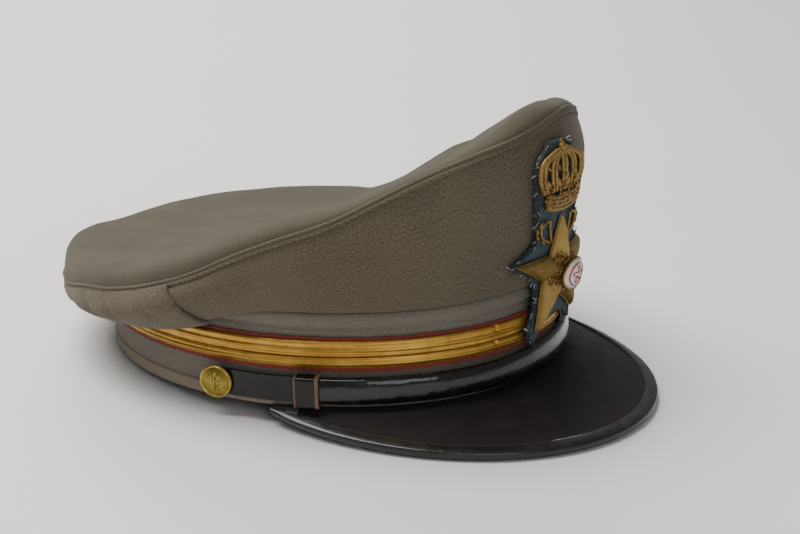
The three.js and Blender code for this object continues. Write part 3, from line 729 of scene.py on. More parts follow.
@dataclass(frozen=True)
class LaceFinish:
    """Woven metal lace, bright on its ribs, with painted shade between the wire's windings, painted
    highlight streaks along its length and darker tarnish.
    """

    name: str
    bright: Colour
    base: Colour
    shade_and_tarnish: Colour
    pitch: float = 1.3
    cross: float = 0.8
    depth: float = 0.16

    def material(self) -> bpy.types.Material:
        """Builds the lace's shader.

        Returns:
            The material.
        """
        material, desk = new_material(self.name)
        place, solid = desk.space(Space.CLOTH), desk.space(Space.SOLID)
        wire = desk.effect("Wire", place, Pitch=self.pitch, Cross=self.cross)
        grain = desk.effect("Fibres", solid, Fineness=2.2, Stretch=EVEN)
        sheen_streak = desk.effect("Fibres", place, Fineness=1.4, Stretch=(0.03, 1.0, 1.0))
        worn = desk.effect("Patches", solid, Size=14.0, Bare=0.55)
        # Painted shade: the darkest gold falls between the wire's windings; the tarnish below takes the same
        # colour.
        colour = desk.blend(wire.outputs["Height"], paint(self.shade_and_tarnish), paint(self.base))
        # Painted highlight: lengthwise streaks of sheen lighten it towards the bright gold; their height
        # also bumps the face.
        colour = desk.tint(colour, sheen_streak.outputs["Melange"], 0.4, paint(self.bright))
        colour = desk.tint(colour, wire.outputs["Tarnish"], 0.3, paint(self.shade_and_tarnish))
        colour = desk.tint(colour, worn.outputs["Mask"], 0.3, paint(self.bright))
        height = desk.math("ADD", desk.math("MULTIPLY", wire.outputs["Height"], 0.4),
                           desk.math("MULTIPLY", sheen_streak.outputs["Height"], 1.6))
        rough = desk.span(grain.outputs["Height"], 0.3, 0.7, 0.24, 0.42)
        desk.finish(Base_Color=colour, Metallic=0.78, Roughness=rough, Normal=desk.bump(height, self.depth))
        return material


@dataclass(frozen=True)
class LeatherFinish:
    """Leather: patent with a cracked gloss, or worn and matt."""

    name: str
    colour: Colour
    worn: Colour
    roughness: float
    gloss: float
    crack_size: float
    crack_stretch: float
    depth: float
    wear: float
    shine: float = 0.25
    space: Space = Space.CLOTH

    def material(self) -> bpy.types.Material:
        """Builds the leather's shader.

        Returns:
            The material.
        """
        material, desk = new_material(self.name)
        place, solid = desk.space(self.space), desk.space(Space.SOLID)
        crackle = desk.effect("Crackle", place, Size=self.crack_size, Stretch=self.crack_stretch)
        grain = desk.effect("Fibres", solid, Fineness=1.3, Stretch=EVEN)
        rubbed = desk.effect("Patches", solid, Size=9.0, Bare=0.58)
        colour = desk.tint(paint(self.colour), rubbed.outputs["Mask"], self.wear, paint(self.worn))
        colour = desk.tint(colour, crackle.outputs["Crack"], self.wear * 0.8, paint(self.worn))
        colour = desk.tint(colour, grain.outputs["Fleck"], 0.25, paint(self.worn, 0.6))
        rough = desk.math("ADD", desk.math("MULTIPLY", rubbed.outputs["Mask"], 0.22), self.roughness)
        fine = desk.math("MULTIPLY", grain.outputs["Height"], 0.25)
        height = desk.math("ADD", crackle.outputs["Height"], fine)
        desk.finish(Base_Color=colour, Roughness=rough, Specular_IOR_Level=self.shine,
                    Coat_Weight=self.gloss, Coat_Roughness=0.08, Normal=desk.bump(height, self.depth))
        return material


@dataclass(frozen=True)
class MetalFinish:
    """Gilt metal or gold thread with dark hollows and tarnish, and painted shade between the thread's
    windings.
    """

    name: str
    bright: Colour
    base: Colour
    hollow: Colour
    metallic: float = 1.0
    roughness: float = 0.3
    wound: float = 0.0
    reads_hollow: bool = False
    space: Space = Space.SOLID

    def material(self) -> bpy.types.Material:
        """Builds the metal's shader.

        Returns:
            The material.
        """
        material, desk = new_material(self.name)
        place, solid = desk.space(self.space), desk.space(Space.SOLID)
        wire = desk.effect("Wire", place, Pitch=0.42, Cross=50.0)
        tarnish = desk.effect("Patches", solid, Size=3.5, Bare=0.52)
        grain = desk.effect("Fibres", solid, Fineness=3.0, Stretch=EVEN)
        colour = desk.tint(paint(self.base), tarnish.outputs["Mask"], 0.55, paint(self.bright))
        if self.wound:
            # Painted shade: the thread darkens towards the hollow colour between the wire's windings.
            colour = desk.tint(paint(self.hollow), wire.outputs["Height"], self.wound, colour)
        if self.reads_hollow:
            deep = desk.add("Attribute", {"attribute_name": HOLLOW}).outputs["Fac"]
            colour = desk.tint(colour, deep, 0.75, paint(self.hollow))
        height = desk.math("ADD", desk.math("MULTIPLY", wire.outputs["Height"], self.wound),
                           desk.math("MULTIPLY", grain.outputs["Height"], 0.5))
        rough = desk.span(tarnish.outputs["Mask"], 0.0, 1.0, self.roughness + 0.18, self.roughness)
        desk.finish(Base_Color=colour, Metallic=self.metallic, Roughness=rough,
                    Normal=desk.bump(height, 0.09))
        return material


@dataclass(frozen=True)
class PlainFinish:
    """Felt, enamel or thread: one colour with an uneven tone and a fine surface."""

    name: str
    colour: Colour
    shade: Colour
    roughness: float
    depth: float
    fineness: float = 2.0
    coat: float = 0.0
    sheen: float = 0.0
    stain: float = 0.4

    def material(self) -> bpy.types.Material:
        """Builds the shader.

        Returns:
            The material.
        """
        material, desk = new_material(self.name)
        solid = desk.space(Space.SOLID)
        grain = desk.effect("Fibres", solid, Fineness=self.fineness, Stretch=EVEN)
        stain = desk.effect("Patches", solid, Size=4.0, Bare=0.55)
        mask = desk.math("ADD", stain.outputs["Mask"], grain.outputs["Fleck"])
        colour = desk.tint(paint(self.colour), mask, self.stain, paint(self.shade))
        rough = desk.span(grain.outputs["Height"], 0.3, 0.7, self.roughness, min(1.0, self.roughness + 0.1))
        desk.finish(Base_Color=colour, Roughness=rough, Coat_Weight=self.coat,
                    Sheen_Weight=self.sheen, Normal=desk.bump(grain.outputs["Height"], self.depth))
        return material


TOP_WOOL = WoolFinish("top wool twill", (97, 90, 75), (50, 45, 36), (112, 104, 88), 0.62, 38.0, 0.14,
                      0.06, 0.9, 0.22, 2.2, 1.0)
SIDE_WOOL = WoolFinish("quarter wool", (86, 77, 64), (56, 49, 39), (124, 114, 97), 0.8, 62.0, 0.03,
                       0.07, 0.25, 0.68, 2.4, 0.4)
WELT_WOOL = WoolFinish("welt wool", (94, 86, 72), (58, 52, 42), (118, 109, 92), 0.8, 50.0, 0.06, 0.06,
                       0.4, 0.5, 2.4)
BAND_WOOL = WoolFinish("band cloth", (106, 100, 89), (66, 61, 53), (146, 139, 126), 0.7, 90.0, 0.03,
                       0.06, 0.3, 0.7, 2.6, 0.8)
HEM_WOOL = WoolFinish("hem cloth", (136, 124, 106), (94, 84, 70), (160, 149, 131), 0.7, 30.0, 0.05,
                      0.08, 0.4, 0.6, 2.4)
RED_CLOTH = WoolFinish("red backing", (134, 50, 40), (82, 28, 24), (160, 82, 64), 0.6, 0.0, 0.06, 0.1,
                       0.4, 0.4)
GOLD_LACE = LaceFinish("gold lace", (240, 196, 96), (190, 140, 46), (108, 70, 20), 0.45, 50.0, 0.05)
PATENT = LeatherFinish("patent leather", (13, 13, 15), (70, 62, 56), 0.26, 0.35, 3.2, 0.55, 0.1, 0.08,
                       0.16)
PAD_PATENT = LeatherFinish("padded patent leather", (11, 11, 13), (80, 76, 74), 0.2, 0.6, 2.6, 0.3,
                           0.09, 0.06)
RAW_EDGE = LeatherFinish("raw leather edge", (96, 74, 56), (134, 110, 86), 0.7, 0.0, 1.2, 1.0, 0.12,
                         0.5, 0.25, Space.SOLID)
PEAK_LEATHER = LeatherFinish("peak leather", (31, 27, 27), (56, 48, 45), 0.6, 0.0, 1.8, 1.0, 0.04,
                             0.28, 0.16)
BINDING_LEATHER = LeatherFinish("binding leather", (20, 19, 20), (70, 62, 56), 0.32, 0.5, 1.6, 0.7,
                                0.1, 0.22)
GILT = MetalFinish("worn gilt", (222, 200, 112), (172, 150, 66), (52, 42, 20), 0.95, 0.22,
                   reads_hollow=True)
BULLION = MetalFinish("gold bullion", (242, 206, 116), (176, 136, 60), (68, 47, 20), 0.6, 0.26, 0.75,
                      space=Space.CLOTH)
STAR_GOLD = MetalFinish("star gold", (250, 222, 140), (202, 168, 88), (118, 90, 42), 0.5, 0.28, 0.4,
                        space=Space.CLOTH)
FELT = PlainFinish("badge felt", (60, 76, 82), (28, 36, 42), 0.95, 0.16, 1.6, sheen=0.05, stain=0.6)
WHITE_ENAMEL = PlainFinish("white enamel", (222, 214, 204), (176, 164, 150), 0.22, 0.02, 0.8, coat=0.8,
                           stain=0.2)
RED_ENAMEL = PlainFinish("red enamel", (186, 38, 48), (120, 24, 30), 0.25, 0.02, 0.8, coat=0.6, stain=0.2)
BROWN_THREAD = PlainFinish("brown thread", (74, 60, 50), (46, 38, 32), 0.8, 0.05, 3.0)
DARK_THREAD = PlainFinish("dark thread", (54, 56, 60), (30, 30, 34), 0.85, 0.05, 3.0)
PALE_THREAD = PlainFinish("pale thread", (168, 172, 168), (110, 114, 112), 0.85, 0.05, 3.0)
CLOTH_THREAD = PlainFinish("cloth thread", (118, 108, 92), (74, 66, 54), 0.9, 0.05, 3.0)


# Frame of the cap

@dataclass(frozen=True)
class HeadBand:
    """The oval of the head opening, which every piece is set out from."""

    half_width: float = 84.0
    half_length: float = 100.0
    wall: float = 3.0
    height: float = 39.5
    hem_height: float = 5.4
    hem_proud: float = 0.6

    def normal(self, angle: float) -> Vector:
        """Outward direction at an angle from the front."""
        across, along = math.sin(angle) / self.half_width, -math.cos(angle) / self.half_length
        return Vector((across, along, 0.0)).normalized()

    def tangent(self, angle: float) -> Vector:
        """Direction along the band, from the front towards the wearer's left."""
        normal = self.normal(angle)
        return Vector((-normal.y, normal.x, 0.0))

    def spot(self, angle: float, high: float) -> Vector:
        """Place on the band at which an uneven pattern is read."""
        return Vector((math.sin(angle) * self.half_width, math.cos(angle) * self.half_length, high))

    def at(self, angle: float, out: float, high: float) -> Vector:
        """Point set out from the head opening.

        Args:
            angle: angle from the front.
            out: how far beyond the band's cloth.
            high: how far above the hem's foot.

        Returns:
            The point.
        """
        normal = self.normal(angle)
        return Vector((self.half_width * math.sin(angle) + normal.x * out,
                       -self.half_length * math.cos(angle) + normal.y * out, high))

    @property
    def girth(self) -> float:
        """Length round the band."""
        return math.pi * (self.half_width + self.half_length)

    def rest(self) -> Matrix:
        """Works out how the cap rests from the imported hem.

        Returns:
            The matrix from the cap's upright millimetres to the shared frame's metres.
        """
        low, high = (Vector(corner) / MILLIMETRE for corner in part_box("band_hem"))
        tip = 0.0
        for _ in range(8):
            tip = math.asin((high.z - low.z - self.hem_height * math.cos(tip)) / (2.0 * self.half_length))
        middle = (low + high) / 2.0
        place = Vector((middle.x, middle.y - self.hem_height / 2.0 * math.sin(tip),
                        low.z + self.half_length * math.sin(tip)))
        return Matrix.Scale(MILLIMETRE, 4) @ Matrix.Translation(place) @ Matrix.Rotation(-tip, 4, "X")


@dataclass
class Piece:
    """Finishes meshes as named pieces of the cap."""

    rest: Matrix
    made: dict[str, bpy.types.Material] = field(default_factory=dict)

    def dress(self, finish: object) -> bpy.types.Material:
        """Returns a finish's material, made once."""
        if finish.name not in self.made:
            self.made[finish.name] = finish.material()
        return self.made[finish.name]

    def finish(self, bm: Mesh, name: str, finishes: Sequence[object], slot: str,
               replaces: Sequence[str] = (), wall: float = 0.0, crisp: float = 50.0,
               sheet: bool = False) -> bpy.types.Object:
        """Turns a mesh into a piece that rides on the cap.

        Args:
            bm: the mesh in millimetres, which is used up.
            name: the piece's name.
            finishes: its finishes, in the order of its material numbers.
            slot: the record's material slot that it belongs to; not used.
            replaces: CAD nodes that it stands for.
            wall: thickness given inwards to an open sheet.
            crisp: edges that bend by more than this many degrees stay sharp.
            sheet: whether the faces of the mesh are already turned out.

        Returns:
            The finished object.
        """
        if not sheet:
            bmesh.ops.recalc_face_normals(bm, faces=bm.faces[:])
        for face in bm.faces:
            face.smooth = True
        for edge in bm.edges:
            edge.smooth = edge.calc_face_angle(0.0) < math.radians(crisp)
        bm.transform(self.rest)
        mesh = bpy.data.meshes.new(name)
        bm.to_mesh(mesh)
        bm.free()
        for finish in finishes:
            mesh.materials.append(self.dress(finish))
        piece = bpy.data.objects.new(name, mesh)
        bpy.context.scene.collection.objects.link(piece)
        if wall:
            body = piece.modifiers.new("wall", "SOLIDIFY")
            body.thickness = wall * MILLIMETRE
            body.offset = -1.0
            body.use_even_offset = False
            body.material_offset_rim = len(finishes) - 1
        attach(piece, "root")
        if replaces:
            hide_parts(*replaces)
        LOG.info("%s: %d faces", name, len(mesh.polygons))
        return piece


# Band, hem and lace

@dataclass
class BandAndLace:
    """Cloth band with its rolled hem and the lace sewn on it."""

    head: HeadBand
    bench: Piece
    roll: float = 1.2
    roll_drop: float = 3.0
    groove: float = 0.7
    groove_drop: float = 6.3
    backing_foot: float = 15.6
    backing_height: float = 14.0
    backing_wall: float = 0.8
    lower_foot: float = 17.7
    lower_height: float = 3.9
    upper_height: float = 6.4
    lace_wall: float = 0.9
    ridge: float = 0.6
    rib_pitch: float = 1.3
    join_angle: float = -20.0

    @property
    def lace_face(self) -> float:
        """How far the lace's ridges stand beyond the band."""
        return 2.0 * FIT + self.backing_wall + self.lace_wall + self.ridge

    def hoop(self, section: Outline, steps: int,
             warp: Callable[[float, float, float], Pair] | None = None) -> Mesh:
        """Hoop round the whole band.

        Args:
            section: closed section of places beyond the band and above the hem's foot.
            steps: faces round the band.
            warp: changes an angle, place out and height to the place out and height there.

        Returns:
            The hoop's mesh.
        """
        bm = bmesh.new()

        def place(share: float, turn: float) -> Vector:
            """Point at a share of the way round the band and of the section."""
            angle = share * FULL_TURN
            out, high = pick(section, turn)
            if warp:
                out, high = warp(angle, out, high)
            return self.head.at(angle, out, high)

        length = section_length(section)
        lay_grid(bm, steps, len(section), place, (self.head.girth, length))
        even_map(bm, len(section), section_shares(section), length)
        return bm

    def band(self) -> None:
        """Cloth band with a groove under its soft top roll."""
        top, wall = self.head.height, self.head.wall
        foot = self.head.hem_height + FIT
        curve = SoftCurve([Vector((out, high, 0.0)) for out, high in (
            (0.0, top - self.groove_drop - 6.0), (0.0, top - self.groove_drop - 2.0),
            (-self.groove, top - self.groove_drop), (self.roll * 0.7, top - self.roll_drop - 2.0),
            (self.roll, top - self.roll_drop), (self.roll * 0.6, top - 1.0), (-0.4, top))])
        face = [(point.x, point.y) for point in (curve.along(i / 24) for i in range(25))]
        section = [(0.0, mix(foot, face[0][1], share)) for share in (0.0, 0.33, 0.66)] + face
        section = even_section(section + rounded([(-wall, top), (-wall, foot)], 0.8), 1.3)

        def warp(angle: float, out: float, high: float) -> Pair:
            """Slight unevenness of worn cloth, on its free face only."""
            free = soft_step(24.0, 32.0, high) * (1.0 if out > -wall * 0.5 else 0.0)
            spot = self.head.spot(angle, high * 3.0)
            return out + 0.22 * free * (waver(spot, 16.0) - 0.2), high

        self.bench.finish(self.hoop(section, 300, warp), "band", [BAND_WOOL], "band_cloth", ["band"])

    def hem(self) -> None:
        """Rolled cloth hem under the band."""
        height, proud, wall = self.head.hem_height, self.head.hem_proud, self.head.wall
        corners = [(-wall, 0.0), (proud, 0.0), (proud, height * 0.6), (0.1, height), (-wall, height)]
        section = rounded(corners, 1.3, 5)

        def warp(angle: float, out: float, high: float) -> Pair:
            """Small puckers along the hem's face."""
            spot = self.head.spot(angle, high)
            face = soft_step(-0.4, 0.4, out)
            return out + face * 0.16 * (waver(spot, 5.0, 3.0) - 0.4), high

        self.bench.finish(self.hoop(section, 320, warp), "hem", [HEM_WOOL], "wool", ["band_hem"])

    def backing(self) -> None:
        """Red strip under the lace, with its cut edges left uneven."""
        face = FIT + self.backing_wall
        top = self.backing_foot + self.backing_height
        foot = self.backing_foot
        section = rounded([(FIT, foot), (face, foot), (face, top), (FIT, top)], 0.3, 2)
        middle = (foot + top) / 2.0

        def warp(angle: float, out: float, high: float) -> Pair:
            """Wanders the two edges a little."""
            spot = self.head.spot(angle, 0.0)
            side = 1.0 if high > middle else -1.0
            return out, high + 0.3 * (waver(spot, 3.0, side) - 0.4) * side

        self.bench.finish(self.hoop(section, 420, warp), "lace_backing", [RED_CLOTH], "red_cloth",
                          ["lace_backing"])
        threads = bmesh.new()
        count = round(self.head.girth / 2.4)
        for edge, slant in ((top - 0.35, 0.6), (foot + 0.35, -0.6)):
            for angle in ring(count):
                run = self.head.tangent(angle) * slant + UP
                spot = self.head.at(angle, face + 0.05, edge)
                add_bead(threads, spot, run, self.head.normal(angle), (0.75, 0.16, 0.16), (5, 4))
        self.bench.finish(threads, "lace_edge_stitches", [RED_CLOTH], "red_cloth")

    def lace(self, name: str, foot: float, height: float, ridges: Outline) -> None:
        """One woven lace with lengthwise ridges and fine ribs across.

        Args:
            name: name of the piece and of the node that it stands for.
            foot: height of its lower edge.
            height: its width.
            ridges: place of each ridge as a share of the width, and its height as a share of the ridge.
        """
        back = 2.0 * FIT + self.backing_wall
        rows = 22

        def face_at(share: float) -> float:
            """How far the lace's face stands out at a share of its width."""
            edge = 0.45 * (1.0 - math.exp(-((min(share, 1.0 - share) * height / 0.5) ** 2)))
            lift = max(tall * math.exp(-(((share - at) * height / 0.6) ** 2)) for at, tall in ridges)
            return back + self.lace_wall - 0.45 + edge + self.ridge * lift

        section = [(back, foot)] + [(face_at(i / rows), foot + height * i / rows) for i in range(rows + 1)]
        section.append((back, foot + height))
        ribs = round(self.head.girth / self.rib_pitch)

        def warp(angle: float, out: float, high: float) -> Pair:
            """Adds the ribs, a slight waver and the sewn join."""
            share = (high - foot) / height
            proud = 1.0 if out > back + 0.2 else 0.0
            rib = 0.02 * math.cos(angle * ribs)
            spot = self.head.spot(angle, high)
            gap = math.degrees(math.atan2(math.sin(angle), math.cos(angle))) - self.join_angle
            join = 0.8 * math.exp(-((gap / 0.45) ** 2)) * soft_step(0.5, 0.6, share)
            return out + proud * (rib + 0.08 * waver(spot, 4.0, 7.0) - join), high

        bm = self.hoop(section, ribs * 3, warp)
        self.bench.finish(bm, name, [GOLD_LACE], "gold_lace", [name], crisp=70.0)

    def build(self) -> None:
        """Builds the band with everything sewn on it."""
        self.band()
        self.hem()
        self.backing()
        self.lace("lace_lower", self.lower_foot, self.lower_height, [(0.42, 0.9)])
        self.lace("lace_upper", self.lower_foot + self.lower_height + FIT, self.upper_height,
                  [(0.14, 0.35), (0.46, 1.0), (0.86, 0.4)])


# Crown

class CrownSection(NamedTuple):
    """Shape of the crown at an angle from the front, in shares of the crown's sizes."""

    angle: float
    seam_out: float
    seam_high: float
    belly_out: float
    belly_high: float
    foot_out: float
    droop: float
    rise: float
    inset: float


class SunkMiddle(NamedTuple):
    """Height of the sunken top panel at a place along the crown."""

    along: float
    high: float


class WornPlace(NamedTuple):
    """How far wear has moved the seam and the ridge at an angle round the crown, in millimetres."""

    angle: float
    seam_out: float
    seam: float
    ridge: float


class Crease(NamedTuple):
    """Soft crease in a quarter, from one place to another, as degrees from the front and shares up."""

    start: float
    start_share: float
    end: float
    end_share: float
    width: float
    depth: float


CROWN_SECTIONS = tuple(CrownSection(*row) for row in (
    (0, 0.5, 0.99, 0.56, 0.84, 0.1, 0, 0.6, 0.8),
    (15, 0.5, 0.945, 0.54, 0.8, 0.1, 0, 0.5, 0.85),
    (30, 0.5, 0.88, 0.52, 0.73, 0.12, 0, 0.55, 0.9),
    (60, 0.52, 0.72, 0.52, 0.57, 0.15, 0.03, 0.65, 1.1),
    (78, 0.58, 0.605, 0.6, 0.5, 0.25, 0.06, 0.75, 1.4),
    (95, 0.7, 0.46, 0.8, 0.38, 0.45, 0.28, 1.1, 1.6),
    (115, 0.86, 0.355, 0.95, 0.28, 0.55, 0.38, 1.25, 1.2),
    (145, 0.95, 0.31, 0.94, 0.26, 0.5, 0.31, 1.2, 0.3),
    (180, 0.93, 0.305, 0.93, 0.255, 0.5, 0.34, 0.7, 0.3),
))
CROWN_MIDDLE = tuple(SunkMiddle(*row) for row in (
    (-1, 1.0), (-0.8, 0.66), (-0.6, 0.38), (-0.2, 0.14),
    (0.3, 0.05), (0.7, 0.02), (1, 0.0),
))
BACK_CREASES = tuple(Crease(*row) for row in (
    (240, 0.97, 247, 0.62, 1.7, 1.0), (248, 0.97, 253, 0.66, 1.5, 0.9),
    (258, 0.94, 264.5, 0.58, 1.8, 0.9), (231, 0.97, 238, 0.6, 2.2, 0.8),
    (150, 0.97, 143, 0.6, 2.2, 0.8), (128, 0.95, 120, 0.6, 2.4, 0.7),
    (185, 0.96, 178, 0.6, 3.0, 0.6), (212, 0.96, 205, 0.6, 3.0, 0.6),
))
WORN_SHAPE = tuple(WornPlace(*row) for row in (
    (0, -0.5, 0, -1), (10, -2, 0, -0.5), (22, -3, 0, 0), (45, -1.5, 0, 0.5),
    (60, 0, 0, 2), (70, 0, 0, 4.5), (80, 0, 0, 6), (90, 0, 0, 4),
    (102, 0, 0, 0), (120, 0, 0, -2), (132, 0, 0, -3.5), (145, 0, 0, -4),
    (160, 0, 0, -4), (172, 0, 0, -3.2), (182, 0, 0, -2.2), (190, 0, -2, 2.5),
    (200, 0, -4, 3), (212, 0, -5, 2), (225, 0, -4, 1.5), (240, 0, 0, 0),
    (262, 0, -0.8, 1.5), (275, 0, -2.2, 2.2), (290, 0, -2.4, 1),
    (300, 0, -2.4, -1.2), (310, 0, 0, -3), (320, 0, 1.6, -4), (330, 0, 1.3, -3),
    (340, 0, 0, 0), (348, 0, 0, 2.7), (355, 0, 0, 1), (360, 0, 0, -1),
))


@dataclass
class Crown:
    """Soft crown: two quarters, the welt in the seam and the sunken top panel."""

    head: HeadBand
    bench: Piece
    cloth: float = 2.0
    front: float = 110.0
    overhang: float = 21.0
    ridge_rise: float = 8.0
    ridge_inset: float = 8.0
    ridge_width: float = 3.0
    panel_shelf: float = 4.0
    lean_depth: float = 10.5
    lean_angle: float = 110.0
    droop_lean: float = 1.6
    roll: float = 1.2
    quarter_proud: float = 0.6
    welt_height: float = 3.0
    tuck: float = 0.3
    seam_lap: float = 0.6
    seam_foot_angle: float = 85.0
    seam_top_angle: float = 95.0
    degree_width: float = 1.8
    flat_height: float = 38.0
    bunching: float = 1.35
    lines: int = 240
    shares: int = 72
    quarter_lines: list[list[Vector]] = field(default_factory=list)
    panel_lines: list[list[Vector]] = field(default_factory=list)

    def __post_init__(self) -> None:
        """Measures the crown's outlines all the way round."""
        edge = self.welt_height / 2.0 - self.tuck
        for angle in ring(self.lines):
            quarter, panel = self.quarter_curve(angle), self.panel_curve(angle)
            steps = [i / self.shares for i in range(self.shares + 1)]
            self.quarter_lines.append([quarter.along(share, 0.0, edge) for share in steps])
            self.panel_lines.append([panel.along(share, edge, 0.0) for share in steps])

    @property
    def panel_rest(self) -> float:
        """Height at which the top panel lies over the band."""
        return self.head.height + self.cloth

    def read(self, angle: float, column: str) -> float:
        """Reads the crown's sections at an angle. Both sides are alike."""
        turn = math.acos(max(-1.0, min(1.0, math.cos(angle))))
        return read_table(CROWN_SECTIONS, column, math.degrees(turn))

    def lean(self, angle: float) -> float:
        """How far the worn crown has sunk at an angle."""
        return self.lean_depth * max(0.0, math.cos(angle - math.radians(self.lean_angle)))

    def high(self, angle: float, column: str) -> float:
        """Height above the hem that a column of the sections gives."""
        return self.read(angle, column) * self.front - self.lean(angle)

    def worn(self, angle: float, column: str) -> float:
        """Reads how far wear has moved the crown at an angle."""
        return read_table(WORN_SHAPE, column, math.degrees(angle % FULL_TURN))

    def seam(self, angle: float) -> Vector:
        """Where the top panel and the quarters meet."""
        out = self.read(angle, "seam_out") * self.overhang + self.worn(angle, "seam_out")
        return self.head.at(angle, out, self.high(angle, "seam_high") + self.worn(angle, "seam"))

    def quarter_curve(self, angle: float) -> SoftCurve:
        """Outline of a quarter, from the band's top out and up to the seam.

        Args:
            angle: where round the crown.

        Returns:
            The outline.
        """
        foot = self.head.height + FIT
        droop = self.read(angle, "droop") * (self.head.height + self.droop_lean * self.lean(angle))
        belly = self.read(angle, "belly_out") * self.overhang
        edge = self.roll + self.quarter_proud
        return SoftCurve([
            self.head.at(angle, -self.head.wall, foot),
            self.head.at(angle, edge, foot),
            self.head.at(angle, mix(edge, belly, self.read(angle, "foot_out")), foot + self.cloth - droop),
            self.head.at(angle, belly, self.high(angle, "belly_high")),
            self.seam(angle),
        ])

    def panel_curve(self, angle: float) -> SoftCurve:
        """Outline of the top panel, from the seam over the ridge to the crown's middle.

        Args:
            angle: where round the crown.

        Returns:
            The outline.
        """
        rise = self.read(angle, "rise") * self.ridge_rise + self.worn(angle, "ridge")
        inset = self.read(angle, "inset") * self.ridge_inset
        seam, front, back = self.seam(angle), self.seam(0.0).y, self.seam(math.pi).y
        to_middle = Vector((-seam.x, (front + back) / 2.0 - seam.y, 0.0))
        span = to_middle.length
        band_edge = self.read(angle, "seam_out") * self.overhang + self.head.wall

        def inwards(distance: float, lift: float) -> Vector:
            """Point at a distance from the seam towards the middle."""
            return seam + to_middle * (distance / span) + Vector((0.0, 0.0, lift))

        def sunk(distance: float, depth: float) -> Vector:
            """Point of the panel that lies lower by a share of its way to the middle's height."""
            point = inwards(distance, 0.0)
            place = 2.0 * (point.y - front) / (back - front) - 1.0
            middle = mix(self.panel_rest, self.front, read_table(CROWN_MIDDLE, "high", place))
            point.z = max(self.panel_rest, mix(seam.z + rise, middle, depth))
            return point

        return SoftCurve([
            seam,
            inwards(inset * 0.15, rise * 0.6),
            inwards(inset, rise),
            sunk(max(inset + self.ridge_width, band_edge - self.head.wall - self.panel_shelf), 0.12),
            sunk(mix(band_edge, span, 0.3), 0.55),
            sunk(mix(band_edge, span, 0.62), 0.9),
            sunk(span, 1.0),
        ])

    def between(self, lines: Sequence[Sequence[Vector]], angle: float, share: float) -> Vector:
        """Point of a surface that is measured in lines.

        Args:
            lines: the surface's lines, spread evenly round the crown.
            angle: where round the crown.
            share: share of the way along a line.

        Returns:
            The point.
        """
        place = (angle % FULL_TURN) / FULL_TURN * self.lines
        i, at = int(place), share * self.shares
        j = min(int(at), self.shares - 1)
        near, far = lines[i % self.lines], lines[(i + 1) % self.lines]
        return near[j].lerp(near[j + 1], at - j).lerp(far[j].lerp(far[j + 1], at - j), place - i)

    def seam_frame(self, angle: float) -> tuple[Vector, Vector]:
        """Works out how the seam lies.

        Args:
            angle: where round the crown.

        Returns:
            The directions up across the seam and straight out of it.
        """
        above = self.between(self.panel_lines, angle, 0.0)
        up = (above - self.between(self.quarter_lines, angle, 1.0)).normalized()
        out = self.head.tangent(angle).cross(up).normalized()
        return up, out if out.dot(self.head.normal(angle)) > 0.0 else -out

    def quarter_out(self, angle: float, high: float) -> float:
        """Measures how far the front quarter stands beyond the band.

        Args:
            angle: where round the crown.
            high: height above the hem's foot.

        Returns:
            The distance.
        """
        line = [self.between(self.quarter_lines, angle, i / 48) for i in range(49)]
        i = next((k for k in range(1, 49) if line[k].z >= high), 48)
        low, top = line[i - 1], line[i]
        share = min(max((high - low.z) / max(top.z - low.z, LAST_DIGITS), 0.0), 1.0)
        return (low.lerp(top, share) - self.head.at(angle, 0.0, high)).dot(self.head.normal(angle))

    def side_seam(self, share: float) -> float:
        """Angle of the seam between the quarters at a share of the way up."""
        return math.radians(mix(self.seam_foot_angle, self.seam_top_angle, share))

    def crease_depth(self, angle: float, share: float) -> float:
        """Adds up the creases at a place of a quarter.

        Args:
            angle: where round the crown.
            share: share of the way up.

        Returns:
            Their depth.
        """
        def flat(degrees: float, up: float) -> Vector:
            """Place on the quarter laid flat, in millimetres."""
            return Vector((degrees * self.degree_width, up * self.flat_height))

        here = flat(math.degrees(angle), share)
        total = 0.0
        for crease in BACK_CREASES:
            start = flat(crease.start, crease.start_share)
            run = flat(crease.end, crease.end_share) - start
            t = min(max((here - start).dot(run) / run.length_squared, 0.0), 1.0)
            gap = (here - start - run * t).length
            fade = math.sin(math.pi * min(max(t, 0.12), 0.88))
            total += crease.depth * fade * math.exp(-((gap / crease.width) ** 2))
        return total

    def quarter(self, name: str, start: Callable[[float], float], end: Callable[[float], float],
                steps: int, creased: bool) -> None:
        """One quarter of the crown's side.

        Args:
            name: name of the piece and of the node that it stands for.
            start: angle of its first side at a share of the way up.
            end: angle of its last side.
            steps: faces along it.
            creased: whether it hangs in creases.
        """
        bm = bmesh.new()
        length = self.head.girth * 1.1 * (end(0.5) - start(0.5)) / FULL_TURN

        def place(along: float, share: float) -> Vector:
            """Point of the quarter's face, with its seams drawn in."""
            angle = mix(start(share), end(share), along)
            point = self.between(self.quarter_lines, angle, share)
            ahead = self.between(self.quarter_lines, angle, min(share + 0.02, 1.0))
            behind = self.between(self.quarter_lines, angle, max(share - 0.02, 0.0))
            out = self.head.tangent(angle).cross(ahead - behind).normalized()
            near = min(along, 1.0 - along) * length
            drawn = 0.25 * math.exp(-((near / 0.9) ** 2)) * soft_step(0.2, 0.4, share)
            drawn += 0.3 * math.exp(-(((1.0 - share) * 45.0 / 1.2) ** 2))
            free = soft_step(0.25, 0.5, share) * (1.0 - 0.6 * soft_step(0.9, 1.0, share))
            still = soft_step(math.radians(18), math.radians(32), abs(math.remainder(angle, FULL_TURN)))
            swell = 0.55 * waver(point, 34.0, 2.0) + 0.25 * waver(point, 11.0, 5.0)
            crease = self.crease_depth(angle, share) if creased else 0.0
            return point + out * (swell * free * mix(0.15, 1.0, still) - drawn - crease)

